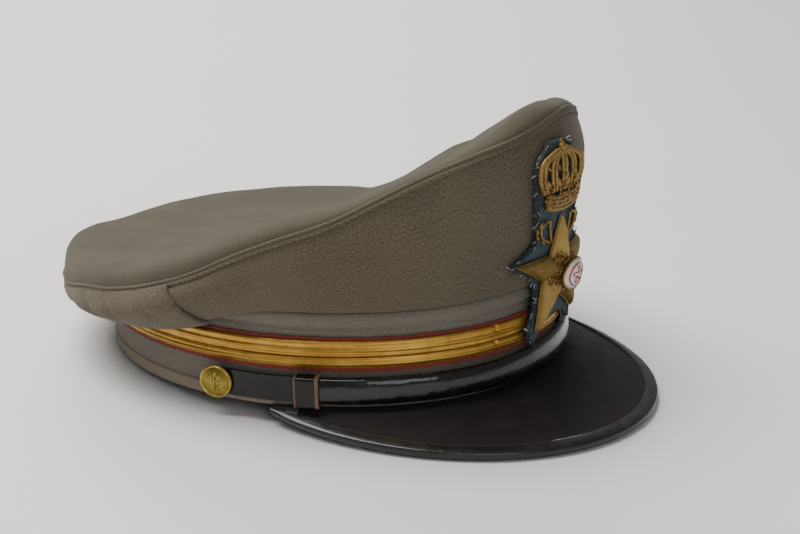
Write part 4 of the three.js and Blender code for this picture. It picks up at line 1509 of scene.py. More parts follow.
        lay_grid(bm, steps, 44, place, (length, 55.0))
        face_out(bm, Vector((0.0, 0.0, self.head.height)))
        self.bench.finish(bm, name, [SIDE_WOOL], "wool", [name], self.cloth * 0.8, sheet=True)

    def top(self) -> None:
        """Top panel: a soft ridge round a sunken middle that lies on the band's edge."""
        bm = bmesh.new()
        steps, rings = 288, 64
        middle = self.between(self.panel_lines, 0.0, 1.0)

        def place(turn: float, share: float) -> Vector:
            """Point of the panel at a share of a turn and of the way to the middle."""
            angle = turn * FULL_TURN
            even = share ** self.bunching
            point = self.between(self.panel_lines, angle, even)
            inner = soft_step(0.12, 0.4, even)
            back = soft_step(-60.0, 40.0, point.y)
            slack = 1.5 * waver(point, 46.0, 4.0) * inner
            fine = 0.35 * waver(point, 15.0, 9.0) * soft_step(0.02, 0.12, even)
            edge = (1.0 - inner) * soft_step(0.0, 0.08, even)
            near = 0.9 * waver(Vector((angle * 60.0, even * 40.0, 0.0)), 26.0, 6.0) * edge
            drawn = 0.7 * math.exp(-((even * 110.0 / 1.3) ** 2))
            return point + Vector((0.0, 0.0, max(slack * back, -0.3) + fine + near * back - drawn))

        lay_grid(bm, steps, rings, place, (1.0, 1.0))
        cloth = bm.loops.layers.uv[CLOTH_MAP]
        for face in bm.faces:
            for loop in face.loops:
                turn, share = loop[cloth].uv
                seam = self.between(self.panel_lines, turn * FULL_TURN, 0.0) - middle
                loop[cloth].uv = Vector((seam.x, seam.y)) * (1.0 - share ** self.bunching) * 1.06
        face_out(bm, Vector((0.0, 0.0, -400.0)))
        self.bench.finish(bm, "crown_top", [TOP_WOOL], "wool", ["crown_top"], self.cloth * 0.8, sheet=True)

    @staticmethod
    def welt_share(angle: float) -> float:
        """Share of its full height that the welt keeps at an angle. It is pressed flat at the front."""
        return mix(0.3, 1.0, soft_step(0.2, 0.6, abs(math.remainder(angle, FULL_TURN))))

    def welt(self) -> None:
        """Doubled welt in the seam, stitched along both its edges."""
        half = self.welt_height / 2.0 + 0.15
        rounds = [(1.7, 1.0), (-0.1, 1.0), (-0.62, 0.86), (-0.86, 0.5), (-0.66, 0.16)]
        section = [(-back, -half * up) for back, up in rounds] + [(0.4, 0.0)]
        section += [(-back, half * up) for back, up in reversed(rounds)]
        steps = 420
        frames = {}

        def place(turn: float, across: float) -> Vector:
            """Point of the welt at a share of a turn and of its section."""
            angle = turn * FULL_TURN
            key = round(turn * steps) % steps
            if key not in frames:
                frames[key] = (self.seam(angle), *self.seam_frame(angle))
            seam, up, out = frames[key]
            o, u = pick(section, across)
            pucker = 0.12 * waver(seam, 4.0, 8.0 + u) if o > 0.0 else 0.0
            flat = self.welt_share(angle) if o > 0.0 else 1.0
            return seam + out * (o * flat + pucker) + up * u

        bm = bmesh.new()
        lay_grid(bm, steps, len(section), place, (self.head.girth * 1.15, section_length(section)))
        self.bench.finish(bm, "crown_welt", [WELT_WOOL], "wool", ["crown_welt"])
        threads = bmesh.new()
        for angle in ring(250):
            up, out = self.seam_frame(angle)
            run = self.head.tangent(angle)
            for side in (-1.0, 1.0):
                spot = self.seam(angle) + up * (side * half * 0.72) + out * 0.74 * self.welt_share(angle)
                add_bead(threads, spot, run, out, (0.85, 0.15, 0.15), (5, 4))
        self.bench.finish(threads, "welt_stitches", [CLOTH_THREAD], "wool")

    def build(self) -> None:
        """Builds the whole crown."""
        lap = -self.seam_lap / self.head.half_length
        self.quarter("quarter_front", lambda share: -self.side_seam(share), self.side_seam, 210, False)
        self.quarter("quarter_back", lambda share: self.side_seam(share) + lap,
                     lambda share: FULL_TURN - self.side_seam(share) - lap, 240, True)
        self.top()
        self.welt()


# Peak

@dataclass
class Peak:
    """Leather peak with a strip of leather bound and stitched over its rim."""

    head: HeadBand
    bench: Piece
    length: float = 45.0
    corner_angle: float = 78.0
    wall: float = 2.0
    root: float = 0.5
    drop: float = 12.8
    camber: float = 0.1
    side_spread: float = 0.75
    binding_width: float = 5.0
    binding_wall: float = 0.8
    end: float = 0.965
    stitch_end: float = 0.93
    leather_run: float = 230.0
    strip_run: float = 260.0
    strip_round: float = 16.0
    steps: int = 150

    def reach(self, share: float) -> float:
        """How far the peak reaches past the band at a share of the way to a corner."""
        return self.length * max(0.0, math.cos(share * math.pi / 2.0))

    def fall(self, share: float) -> float:
        """How low the rim hangs at a share of the way to a corner."""
        return self.drop * max(0.0, math.cos(share * math.pi / 2.0)) ** 0.62

    def bound(self, along: float) -> float:
        """How far the binding reaches in from the rim. It narrows towards the corners."""
        return min(self.binding_width, self.reach(along) * 0.55)

    def at(self, along: float, across: float) -> Vector:
        """Point of the peak's middle surface.

        Args:
            along: from -1 to 1 between the corners.
            across: from 0 at the band to 1 at the rim.

        Returns:
            The point.
        """
        angle = along * math.radians(self.corner_angle)
        normal = self.head.normal(angle)
        reach = self.reach(along) * across
        sag = self.fall(along) * (across + self.camber * across * (1.0 - across))
        start = self.head.at(angle, self.head.hem_proud + FIT, self.root)
        return start + Vector((normal.x * reach * self.side_spread, normal.y * reach, -sag))

    def frame(self, along: float, across: float) -> tuple[Vector, Vector]:
        """Works out how the leather lies.

        Args:
            along: from -1 to 1 between the corners.
            across: from 0 at the band to 1 at the rim.

        Returns:
            The directions outwards along the leather and up through it.
        """
        step = 0.02
        out = (self.at(along, across) - self.at(along, across - step)).normalized()
        left, right = self.at(min(along + step, 1.0), across), self.at(max(along - step, -1.0), across)
        up = (left - right).cross(out).normalized()
        return out, up if up.z > 0.0 else -up

    def leather(self) -> None:
        """The peak's two-sided leather."""
        rows = 26
        half = self.wall / 2.0
        section = [(i / rows, half) for i in range(rows + 1)]
        section += [(1.0 - i / rows, -half) for i in range(rows + 1)]
        bm = bmesh.new()

        def place(share: float, turn: float) -> Vector:
            """Point of the peak's skin."""
            along = mix(-self.end, self.end, share)
            across, lift = pick(section, turn)
            _, up = self.frame(along, across)
            point = self.at(along, across)
            wave = 0.3 * waver(point, 22.0, 1.0) * math.sin(math.pi * across)
            return point + up * (lift + wave)

        lay_grid(bm, self.steps, len(section), place, (self.leather_run, 2.0 * self.length))
        close_ends(bm)
        self.bench.finish(bm, "peak", [PEAK_LEATHER], "peak_leather", ["peak"])

    def binding(self) -> None:
        """Leather strip folded over the rim, with a row of stitches on each side."""
        pocket = self.wall / 2.0
        skin = pocket + self.binding_wall
        nose = FIT + self.binding_wall
        steps = self.steps

        def section_at(width: float) -> Outline:
            """Section of the folded strip, outwards along the leather and up through it."""
            turns = [i * math.pi / 10.0 for i in range(5, -6, -1)]
            fold = [(nose * math.cos(turn), skin * math.sin(turn)) for turn in turns]
            top = [(-width, pocket + 0.15), (-width + 0.25, skin - 0.15), (-width * 0.5, skin + 0.1)]
            foot = [(o, -u) for o, u in reversed(top)]
            return [*top, *fold, *foot, (-width, -pocket), (0.1, -pocket), (0.1, pocket), (-width, pocket)]

        count = len(section_at(1.0))

        def place(share: float, turn: float) -> Vector:
            """Point of the strip's skin."""
            along = mix(-self.end, self.end, share)
            o, u = pick(section_at(self.bound(along)), turn)
            out, up = self.frame(along, 1.0)
            rim = self.at(along, 1.0)
            pucker = 0.1 * waver(rim, 3.0, 4.0) if abs(u) > pocket * 1.05 else 0.0
            return rim + out * o + up * (u + math.copysign(pucker, u))

        bm = bmesh.new()
        lay_grid(bm, steps, count, place, (self.strip_run, self.strip_round))
        close_ends(bm)
        self.bench.finish(bm, "peak_binding", [BINDING_LEATHER], "peak_leather", ["peak_binding"])
        self.stitches(skin)

    def stitches(self, skin: float) -> None:
        """Rows of stitches near the strip's edges.

        Args:
            skin: height of the strip's face over the middle of the leather.
        """
        threads = bmesh.new()
        end = self.stitch_end
        rim = SoftCurve([self.at(mix(-end, end, i / 40), 1.0) for i in range(41)])
        count = round(rim.length / 2.5)
        for i in range(count):
            along = mix(-end, end, i / (count - 1))
            out, up = self.frame(along, 1.0)
            run = (self.at(along + 0.01, 1.0) - self.at(along - 0.01, 1.0)).normalized()
            for side in (-1.0, 1.0):
                spot = self.at(along, 1.0) + out * (0.9 - self.bound(along)) + up * (side * (skin + 0.02))
                add_bead(threads, spot, run, up * side, (1.15, 0.16, 0.16), (6, 4))
        self.bench.finish(threads, "binding_stitches", [BROWN_THREAD], "peak_leather")

    def build(self) -> None:
        """Builds the peak."""
        self.leather()
        self.binding()


# Straps and buttons

class Side(Enum):
    """The wearer's sides, with the sign of their angles."""

    RIGHT = ("right", -1.0)
    LEFT = ("left", 1.0)


@dataclass
class ChinStrap:
    """Patent chin strap over the band, its padded front, keepers and side buttons."""

    head: HeadBand
    bench: Piece
    foot: float = 3.2
    height: float = 10.6
    wall: float = 1.2
    pad_wall: float = 2.3
    pad_lap: float = 4.0
    front_rise: float = 2.0
    end_angle: float = 91.3
    keeper_angle: float = 66.5
    keeper_width: float = 9.5
    keeper_wall: float = 0.8
    button_angle: float = 88.0
    button_radius: float = 6.8
    button_dome: float = 2.6
    button_edge: float = 1.1
    button_slack: float = 0.9
    button_turn: float = 12.0

    @property
    def back(self) -> float:
        """How far the flat strap's back stands beyond the band."""
        return self.head.hem_proud + 2.0 * FIT + self.keeper_wall

    @property
    def pad_back(self) -> float:
        """How far the padded strap's back stands beyond the band."""
        return self.back + self.wall + FIT

    @property
    def middle(self) -> float:
        """Height of the straps' middle line."""
        return self.foot + self.height / 2.0

    def flat(self) -> None:
        """Flat strap with round tips, from button to button."""
        end = math.radians(self.end_angle)
        half, steps = self.height / 2.0, 360
        section = rounded([(0.0, -1.0), (1.0, -1.0), (1.0, 1.0), (0.0, 1.0)], 0.07, 2)
        bm = bmesh.new()

        def place(share: float, turn: float) -> Vector:
            """Point of the strap's skin."""
            angle = mix(-end, end, share)
            left = (end - abs(angle)) * self.head.half_length
            tip = math.sqrt(max(0.0, 1.0 - max(0.0, 1.0 - left / half) ** 2))
            out, side = pick(section, turn)
            high = self.middle + side * half * tip
            point = self.head.at(angle, self.back, high)
            buckle = 0.2 * waver(point, 7.0, 2.0) if out > 0.5 else 0.0
            return self.head.at(angle, self.back + out * self.wall + buckle, high)

        lay_grid(bm, steps, len(section), place, (self.head.girth * self.end_angle / 180.0, 24.0))
        self.bench.finish(bm, "chin_strap", [PATENT], "patent_leather", ["chin_strap"])

    def padded(self) -> None:
        """Rounded padded strap across the front, crumpled by age."""
        half_keeper = self.keeper_width / 2.0 / self.head.half_length
        reach = math.radians(self.keeper_angle) - half_keeper + math.radians(self.pad_lap)
        face = [(math.sin(math.pi * i / 20) ** 0.8, -math.cos(math.pi * i / 20)) for i in range(21)]
        section = [*face, (0.0, 0.5), (0.0, 0.0), (0.0, -0.5)]
        half = self.height / 2.0
        bm = bmesh.new()

        def place(share: float, turn: float) -> Vector:
            """Point of the padded strap's skin."""
            angle = mix(-reach, reach, share)
            out, side = pick(section, turn)
            spot = self.head.at(angle, 0.0, self.middle + side * half)
            crush = 0.0
            if out > 0.1:
                held = soft_step(0.0, 0.05, min(share, 1.0 - share))
                crush = 0.16 * waver(spot, 4.2, 1.0) + 0.05 * waver(spot, 1.7, 8.0) - 0.12
                calm = mix(0.25, 1.0, soft_step(0.35, 0.75, abs(angle)))
                crush *= out * held * calm
            edge = 0.12 * waver(spot, 6.0, 3.0)
            edge += self.front_rise * math.exp(-((angle / 0.34) ** 2)) * (1.0 if side > 0.0 else 0.0)
            high = self.middle + side * (half + edge)
            return self.head.at(angle, self.pad_back + out * self.pad_wall + crush, high)

        lay_grid(bm, 460, len(section), place, (self.head.girth * 2.0 * reach / FULL_TURN, 24.0))
        close_ends(bm)
        piece = self.bench.finish(bm, "front_strap", [PAD_PATENT], "patent_leather", ["front_strap"])

    def keeper(self, side: Side) -> None:
        """Leather loop round both straps, with raw edges.

        Args:
            side: which side of the cap.
        """
        name, sign = side.value
        skin = self.keeper_wall
        face = self.pad_back + self.pad_wall + FIT + skin
        low, high = self.foot - FIT - skin, self.foot + self.height + FIT + skin
        back = self.back - FIT - skin
        section = rounded([(back, low), (face, low), (face, high), (back, high)], 1.6, 6)
        half = self.keeper_width / 2.0 / self.head.half_length
        middle = sign * math.radians(self.keeper_angle)
        bm = bmesh.new()

        def place(turn: float, share: float) -> Vector:
            """Point of the loop's outer face."""
            out, up = pick(section, turn)
            bow = 0.25 * math.cos((share - 0.5) * math.pi) if out > face - 1.0 else 0.0
            return self.head.at(middle + half * mix(-1.0, 1.0, share), out + bow, up)

        lay_grid(bm, len(section), 28, place, (section_length(section), self.keeper_width))
        cloth = bm.loops.layers.uv[CLOTH_MAP]
        for patch in bm.faces:
            share = sum(loop[cloth].uv.y for loop in patch.loops) / len(patch.loops) / self.keeper_width
            front = share if side is Side.RIGHT else 1.0 - share
            patch.material_index = 1 if front > 0.86 or front < 0.06 else 0
        face_out(bm, self.head.at(middle, (back + face) / 2.0, self.middle))
        self.bench.finish(bm, f"keeper_{name}", [PATENT, RAW_EDGE], "patent_leather", [f"keeper_{name}"],
                          skin, sheet=True)

    @staticmethod
    def sprig(x: float, y: float) -> float:
        """Height from 0 to 1 of a leaf sprig on the button's face.

        Args:
            x: place across the button.
            y: place up the button.

        Returns:
            The relief's share of its full height.
        """
        height = soft_step(0.34, 0.12, abs(x)) if -4.1 < y < 3.0 else 0.0
        leaves = [(0.0, 3.4, 0.0)]
        leaves += [(side * 1.45, mix(-2.2, 1.9, i / 2), side * 0.75) for i in range(3) for side in (-1, 1)]
        for leaf_x, leaf_y, turn in leaves:
            dx, dy = x - leaf_x, y - leaf_y
            across = dx * math.cos(turn) - dy * math.sin(turn)
            along = dx * math.sin(turn) + dy * math.cos(turn)
            round_leaf = math.hypot(across / 0.62, along / 1.35)
            vein = 0.25 * math.exp(-((across / 0.14) ** 2))
            height = max(height, soft_step(1.05, 0.45, round_leaf) - vein)
        return max(0.0, height)

    def button(self, side: Side) -> None:
        """Domed gilt button with a raised rim and a leaf sprig.

        Args:
            side: which side of the cap.
        """
        name, sign = side.value
        bm = bmesh.new()
        inner = self.button_radius - self.button_edge
        outline = [(0.0, 0.0), (self.button_radius - 0.6, 0.0), (self.button_radius - 0.15, 0.25),
                   (self.button_radius, 0.75), (self.button_radius - 0.1, 1.2),
                   (self.button_radius - 0.4, 1.5), (self.button_radius - 0.8, 1.45), (inner, 1.05)]
        domes = 30
        for i in range(1, domes + 1):
            share = i / domes
            lift = 1.05 + (self.button_dome - 1.3) * math.sin(share * math.pi / 2.0)
            outline.append((inner * (1.0 - share), lift))
        verts = [bm.verts.new((radius, 0.0, lift)) for radius, lift in outline]
        edges = [bm.edges.new(pair) for pair in zip(verts, verts[1:])]
        bmesh.ops.spin(bm, geom=[*verts, *edges], cent=(0.0, 0.0, 0.0), axis=(0.0, 0.0, 1.0),
                       dvec=(0.0, 0.0, 0.0), angle=FULL_TURN, steps=96, use_merge=True, use_duplicate=False)
        bmesh.ops.remove_doubles(bm, verts=bm.verts[:], dist=LAST_DIGITS)
        hollow = bm.verts.layers.float.new(HOLLOW)
        for vert in bm.verts:
            reach = math.hypot(vert.co.x, vert.co.y)
            if reach < inner and vert.co.z > 1.0:
                height = self.sprig(vert.co.x * 1.12, vert.co.y * 1.12)
                height *= soft_step(inner, inner - 0.8, reach)
                vert[hollow] = 0.75 * (1.0 - height) * mix(0.75, 1.0, reach / inner)
                vert.co.z += 0.55 * height
            elif vert.co.z > 1.0:
                notch = 0.5 + 0.5 * math.cos(math.atan2(vert.co.y, vert.co.x) * 52.0)
                vert.co.z -= 0.12 * notch
                vert[hollow] = 0.35 * notch
        angle = sign * math.radians(self.button_angle)
        turn = Matrix((self.head.tangent(angle), UP, self.head.normal(angle))).transposed()
        place = self.head.at(angle, self.back + self.wall + FIT + self.button_slack, self.middle)
        loose = Matrix.Rotation(-sign * math.radians(self.button_turn), 4, "Z")
        bm.transform(Matrix.Translation(place) @ loose @ turn.to_4x4())
        self.bench.finish(bm, f"button_{name}", [GILT], "gilt", [f"button_{name}"])

    def build(self) -> None:
        """Builds the straps, keepers and buttons."""
        self.flat()
        self.padded()
        for side in Side:
            self.keeper(side)
            self.button(side)


# Badge

class FeltWidth(NamedTuple):
    """Half width of the badge's felt at a share of its height."""

    high: float
    wide: float


FELT_OUTLINE = tuple(FeltWidth(*row) for row in (
    (0, 0.72), (0.06, 0.8), (0.12, 0.7), (0.22, 0.52), (0.33, 0.56),
    (0.39, 0.86), (0.425, 1.0), (0.46, 0.78), (0.52, 0.52), (0.64, 0.5),
    (0.8, 0.5), (0.92, 0.42), (1, 0.18),
))


@dataclass
class Badge:
    """Stitched badge: felt ground, bullion crown and sprays, a star and an enamel boss."""

    head: HeadBand
    crown: Crown
    bench: Piece
    lace_face: float
    foot: float = 16.0
    height: float = 84.0
    half_width: float = 25.0
    felt_wall: float = 1.5
    star_radius: float = 24.2
    star_waist: float = 9.2
    star_rise: float = 6.0
    foot_radius: float = 28.0
    foot_arch: float = 9.0
    star_edge: float = 1.0
    star_place: float = 0.34
    bead_ring: float = 8.6
    boss_radius: float = 6.6
    boss_side: float = 1.4
    boss_drop: float = 1.6
    boss_edge: float = 0.6
    boss_rise: float = 2.8
    cord: float = 1.1
    seat: float = 0.45
    slant: float = 15.5

    def angle(self, side: float, high: float) -> float:
        """Angle of the band at a place on the badge."""
        return (side + self.slant * (self.star_place - high / self.height)) / self.head.half_width

    def at(self, side: float, high: float, proud: float) -> Vector:
        """Point on the badge.

        Args:
            side: place along the front.
            high: height above the badge's foot.
            proud: how far in front of the cloth or lace that carries it.

        Returns:
            The point.
        """
        angle, place = self.angle(side, high), self.foot + high
        cover = self.lace_face
        if place >= self.head.height + 2.0:
            cover = max(cover, self.crown.quarter_out(angle, place))
        return self.head.at(angle, cover + FIT + self.seat + proud, place)

    @property
    def star_high(self) -> float:
        """Height of the star's middle above the badge's foot."""
        return self.height * self.star_place

    @property
    def boss_high(self) -> float:
        """Height of the boss's middle above the badge's foot."""
        return self.star_high - self.boss_drop

    @property
    def lift(self) -> float:
        """Height of a bullion cord's middle over what carries the badge."""
        return self.felt_wall + self.seat + self.cord

    def wide(self, share: float) -> float:
        """Half width of the felt at a share of its height."""
        return read_table(FELT_OUTLINE, "wide", share) * self.half_width

    def felt(self) -> None:
        """Felt ground, cut unevenly round the embroidery."""
        bm = bmesh.new()

        def place(across: float, up: float) -> Vector:
            """Point of the felt's face."""
            ragged = 0.5 * noise.noise(Vector((up * 30.0, 4.0 if across > 0.5 else 0.0, 0.0)))
            side = (across - 0.5) * 2.0 * (self.wide(up) + ragged)
            puff = 0.2 * noise.noise(Vector((side * 0.3, up * 20.0, 2.0)))
            arch = self.foot_arch * (1.0 - (across * 2.0 - 1.0) ** 2) * (1.0 - up) ** 8
            return self.at(side, up * self.height + arch, self.felt_wall + puff)

        lay_grid(bm, 24, 90, place, (2.0 * self.half_width, self.height))
        face_out(bm, Vector((0.0, 0.0, 60.0)))
        self.bench.finish(bm, "badge_felt", [FELT], "felt", ["badge_felt"], self.felt_wall, sheet=True)

    def fringe(self) -> None:
        """Couched dark thread along the felt's edges, with frayed ends."""
        chance = random.Random(11)
        dark, pale = bmesh.new(), bmesh.new()
        for side in (-1.0, 1.0):
            points = [self.at(side * (self.wide(i / 40) - 0.5), i / 40 * self.height, self.felt_wall + 0.3)
                      for i in range(41)]
            add_cord(dark, points, 0.45, self.head.normal(0.0), 6, 0.7, 2, 2.4)
            for _ in range(150):
                share = chance.uniform(0.0, 1.0)
                start = self.wide(share) * side - side * chance.uniform(0.0, 1.6)
                length = chance.uniform(1.0, 3.6)
                rise = chance.uniform(-2.4, 2.4)
                bend = chance.uniform(-1.2, 1.2)
                proud = self.felt_wall + chance.uniform(-0.6, 0.4)
                route = [self.at(start + side * length * t,
                                 share * self.height + rise * t + bend * t * (1 - t) * 2.0,
                                 proud + chance.uniform(0.0, 0.9) * t) for t in (0.0, 0.35, 0.7, 1.0)]
                kind = pale if chance.random() < 0.3 else dark
                add_cord(kind, route, chance.uniform(0.12, 0.26), self.head.normal(0.0), 4, 1.0)
        self.bench.finish(dark, "badge_edge_threads", [DARK_THREAD], "felt")
        self.bench.finish(pale, "badge_loose_threads", [PALE_THREAD], "felt")

    def twist(self, bm: Mesh, places: Sequence[Triple], radius: float,
              strands: int = 3) -> None:
        """Adds a twisted bullion cord.

        Args:
            bm: the mesh to add to.
            places: places on the badge that it passes.
            radius: its radius.
            strands: number of its strands, 0 for a plain cord.
        """
        route = [self.at(side, high, proud) for side, high, proud in places]
        add_cord(bm, route, radius, self.head.normal(0.0), 9, 0.45, strands, radius * 5.0)

    def leaf(self, bm: Mesh, side: float, high: float, turn: float,
             sizes: Triple, proud: float) -> None:
        """Adds a padded leaf of bullion.

        Args:
            bm: the mesh to add to.
            side: place along the front.
            high: height above the badge's foot.
            turn: direction of its length, from upright, in degrees.
            sizes: half length, half width and half height.
            proud: height of its middle.
        """
        lean = math.radians(turn)
        middle = self.at(side, high, proud)
        ahead = self.at(side + math.sin(lean), high + math.cos(lean), proud)
        add_bead(bm, middle, ahead - middle, self.head.normal(self.angle(side, high)), sizes, (10, 8))

    def purl(self, bm: Mesh, count: int, chance: random.Random,
             spot: Callable[[float, float], Triple | None]) -> None:
        """Adds many short lengths of bullion, laid every way.

        Args:
            bm: the mesh to add to.
            count: how many places are tried.
            chance: source of the unevenness.
            spot: gives a place from two numbers between 0 and 1, or None where none is laid.
        """
        for _ in range(count):
            place = spot(chance.random(), chance.random())
            if place is None:
                continue
            size = chance.uniform(0.75, 1.25)
            side, high, proud = place
            self.leaf(bm, side, high, chance.uniform(-90.0, 90.0), (size, 0.42, 0.42),
                      proud + chance.uniform(0.0, 0.5))

    def royal_crown(self) -> None:
        """Embroidered crown: circlet, five arches, leaves and purl between them, and a ball."""
        foot, top = self.height * 0.705, self.height * 0.965
        half = self.half_width * 0.4
        bm = bmesh.new()
        chance = random.Random(5)
        for row in range(4):
            width, rise = half * (1.0 - row * 0.01), foot - 1.2 + row * self.cord * 1.55
            self.twist(bm, [(s * width, rise - 1.7 * (1.0 - s * s), self.lift + 0.3)
                            for s in (-1, -0.5, 0, 0.5, 1)], self.cord)
        for spread in (-1.0, -0.5, 0.0, 0.5, 1.0):
            outer = abs(spread) > 0.9
            for strand in (-0.9, 0.9):
                side = spread * half
                self.twist(bm, [
                    (side * 0.95 + strand, foot + 4.6, self.lift),
                    (side * 1.14 + strand, mix(foot, top, 0.5), self.lift + 0.5),
                    (side * 1.0 + strand, mix(foot, top, 0.78), self.lift + 0.7),
                    (side * 0.15 + strand * 0.6, top, self.lift + 0.6),
                ], self.cord * (0.95 if outer else 0.75))
        for spread in (-0.78, -0.26, 0.26, 0.78):
            self.leaf(bm, spread * half, foot + 8.0, spread * 24.0, (2.6, 1.1, 0.9), self.lift)
            self.leaf(bm, spread * half - 1.0, foot + 6.0, -52.0, (1.4, 0.6, 0.6), self.lift + 0.3)
            self.leaf(bm, spread * half + 1.0, foot + 6.0, 52.0, (1.4, 0.6, 0.6), self.lift + 0.3)
            self.leaf(bm, spread * half * 0.9, foot + 14.5, spread * 40.0, (1.7, 0.7, 0.6), self.lift)

        def fill(across: float, up: float) -> Triple | None:
            """Place for a length of purl, leaving the felt open between the arches."""
            spread, rise = across * 2.0 - 1.0, up * up * 0.62
            if rise > 0.34 and abs(math.sin(spread * 2.0 * math.pi)) > 0.72:
                return None
            side = spread * half * (1.0 + 0.2 * math.sin(rise * math.pi))
            return side, mix(foot, top, rise) - 1.4, self.lift + 0.8

        self.purl(bm, 210, chance, fill)
        self.leaf(bm, 0.0, top + 0.9, 0.0, (1.7, 1.7, 1.5), self.lift + 0.6)
        self.leaf(bm, 0.0, top + 2.9, 0.0, (1.2, 0.6, 0.5), self.lift + 0.6)
        self.leaf(bm, 0.0, top + 2.8, 90.0, (1.1, 0.5, 0.5), self.lift + 0.6)
        for spread in (-0.5, 0.5):
            high = mix(foot, top, 0.94)
            self.leaf(bm, spread * half, high, spread * 60.0, (1.0, 0.8, 0.8), self.lift + 0.7)
        self.bench.finish(bm, "badge_crown", [BULLION], "bullion", ["badge_crown"])

    def spray(self, side: Side) -> None:
        """Curling stem of bullion with small leaves beside the star's upper point.

        Args:
            side: which side of the badge.
        """
        name, sign = side.value
        half = self.half_width * 0.42 * sign
        low, high = self.height * 0.5, self.height * 0.625
        lift = self.felt_wall + self.seat + self.cord * 0.7
        bm = bmesh.new()
        self.twist(bm, [(half * 0.55, low, lift), (half * 1.05, mix(low, high, 0.35), lift),
                        (half * 1.1, mix(low, high, 0.75), lift), (half * 0.7, high, lift)], self.cord * 0.6)
        self.twist(bm, [(half * 0.5, low, lift), (half * 0.62, mix(low, high, 0.5), lift),
                        (half * 0.66, high, lift)], self.cord * 0.6)
        leaves = ((0.15, 1.0, 40.0), (0.4, 1.28, 25.0), (0.65, 1.3, -10.0), (0.9, 1.12, -35.0))
        for share, reach, turn in leaves:
            self.leaf(bm, half * reach, mix(low, high, share), sign * turn, (1.5, 0.55, 0.5), lift + 0.1)
        self.bench.finish(bm, f"badge_spray_{name}", [BULLION], "bullion", [f"badge_spray_{name}"])

    def boss_place(self, angle: float, radius: float) -> Pair:
        """Place on the badge at an angle and a distance from the boss's middle."""
        return self.boss_side + math.sin(angle) * radius, self.boss_high + math.cos(angle) * radius

    def star_corner(self, number: int, spread: float = 0.0) -> Vector:
        """Place of a corner of the star's outline. Even ones are tips, the two lower ones longer.

        Args:
            number: which corner, counted round from the top.
            spread: how far beyond the outline.

        Returns:
            The place from the star's middle.
        """
        radius = self.star_waist
        if number % 2 == 0:
            radius = self.foot_radius if number % 10 in (4, 6) else self.star_radius
        angle = number * math.pi / 5.0
        return Vector((math.sin(angle), math.cos(angle))) * (radius + spread)

    def star(self) -> None:
        """Five-pointed star with padded arms, worked in gold."""
        rays, rings = 60, 14
        base = self.felt_wall + FIT + self.seat
        section = [(i / 4.0, base) for i in range(5)]
        section += [(1.0, base + self.star_edge * 0.5)]
        for i in range(rings + 1):
            share = 1.0 - i / rings
            puff = mix(1.0 - share, math.sqrt(1.0 - share * share), 0.45)
            section.append((share, base + self.star_edge + self.star_rise * puff))
        bm = bmesh.new()

        def place(turn: float, through: float) -> Vector:
            """Point of the star's skin at a share of a turn and of its section."""
            corner = turn * 10.0
            share, proud = section[round(through * (len(section) - 1))]
            here = int(corner + LAST_DIGITS)
            spot = self.star_corner(here).lerp(self.star_corner(here + 1), corner - here) * share
            return self.at(spot.x, self.star_high + spot.y, proud)

        lay_grid(bm, rays, len(section) - 1, place, (60.0, 30.0))
        self.bench.finish(bm, "badge_star", [STAR_GOLD], "bullion", ["badge_star"], crisp=28.0)
        self.star_trim(base)

    def star_trim(self, base: float) -> None:
        """Thin cord round the star's foot and small beads in its angles.

        Args:
            base: height of the star's foot.
        """
        bm = bmesh.new()
        corners = [self.star_corner(k, 0.4) for k in range(10)]
        for i, corner in enumerate(corners):
            ahead = corners[(i + 1) % 10]
            route = [corner.lerp(ahead, share) for share in (0.0, 0.33, 0.67, 1.0)]
            self.twist(bm, [(spot.x, self.star_high + spot.y, base + 0.35) for spot in route], 0.42, 2)
        for k in range(5):
            turn = (k + 0.5) * FULL_TURN / 5.0
            for spread in (-0.16, 0.16):
                x, y = math.sin(turn + spread) * self.bead_ring, math.cos(turn + spread) * self.bead_ring
                lift = base + self.star_edge + self.star_rise * 0.4
                self.leaf(bm, x, self.star_high + y, 0.0, (0.9, 0.9, 0.9), lift)

        def fill(across: float, up: float) -> Triple | None:
            """Place for a length of purl round the boss."""
            reach, turn = mix(5.5, 9.5, up), across * FULL_TURN
            low = base + self.star_edge + self.star_rise * mix(0.86, 0.42, up)
            return math.sin(turn) * reach, self.star_high + math.cos(turn) * reach, low

        self.purl(bm, 120, random.Random(9), fill)
        self.bench.finish(bm, "badge_star_trim", [BULLION], "bullion")

    def boss(self) -> None:
        """White enamel dome with a gilt collar, a red ring and a red rosette."""
        foot = self.felt_wall + self.seat + self.star_edge + self.star_rise + 2.0 * FIT
        rings = 12
        section = [(0.0, foot), (0.5, foot), (0.96, foot), (1.0, foot + 0.2)]
        for i in range(rings + 1):
            share = 1.0 - i / rings
            section.append((share, foot + self.boss_edge + self.boss_rise * (1.0 - share ** 2)))
        bm = bmesh.new()

        def place(turn: float, through: float) -> Vector:
            """Point of the boss at a share of a turn and of its section."""
            share, proud = section[round(through * (len(section) - 1))]
            return self.at(*self.boss_place(turn * FULL_TURN, self.boss_radius * share), proud)

        lay_grid(bm, 48, len(section) - 1, place, (20.0, 10.0))
        self.bench.finish(bm, "badge_boss", [WHITE_ENAMEL], "enamel", ["badge_boss"])

        def on_dome(angle: float, share: float) -> Triple:
            """Place on the dome at an angle and a share of its radius."""
            proud = foot + self.boss_edge + self.boss_rise * (1.0 - share * share) + 0.12
            return *self.boss_place(angle, self.boss_radius * share), proud

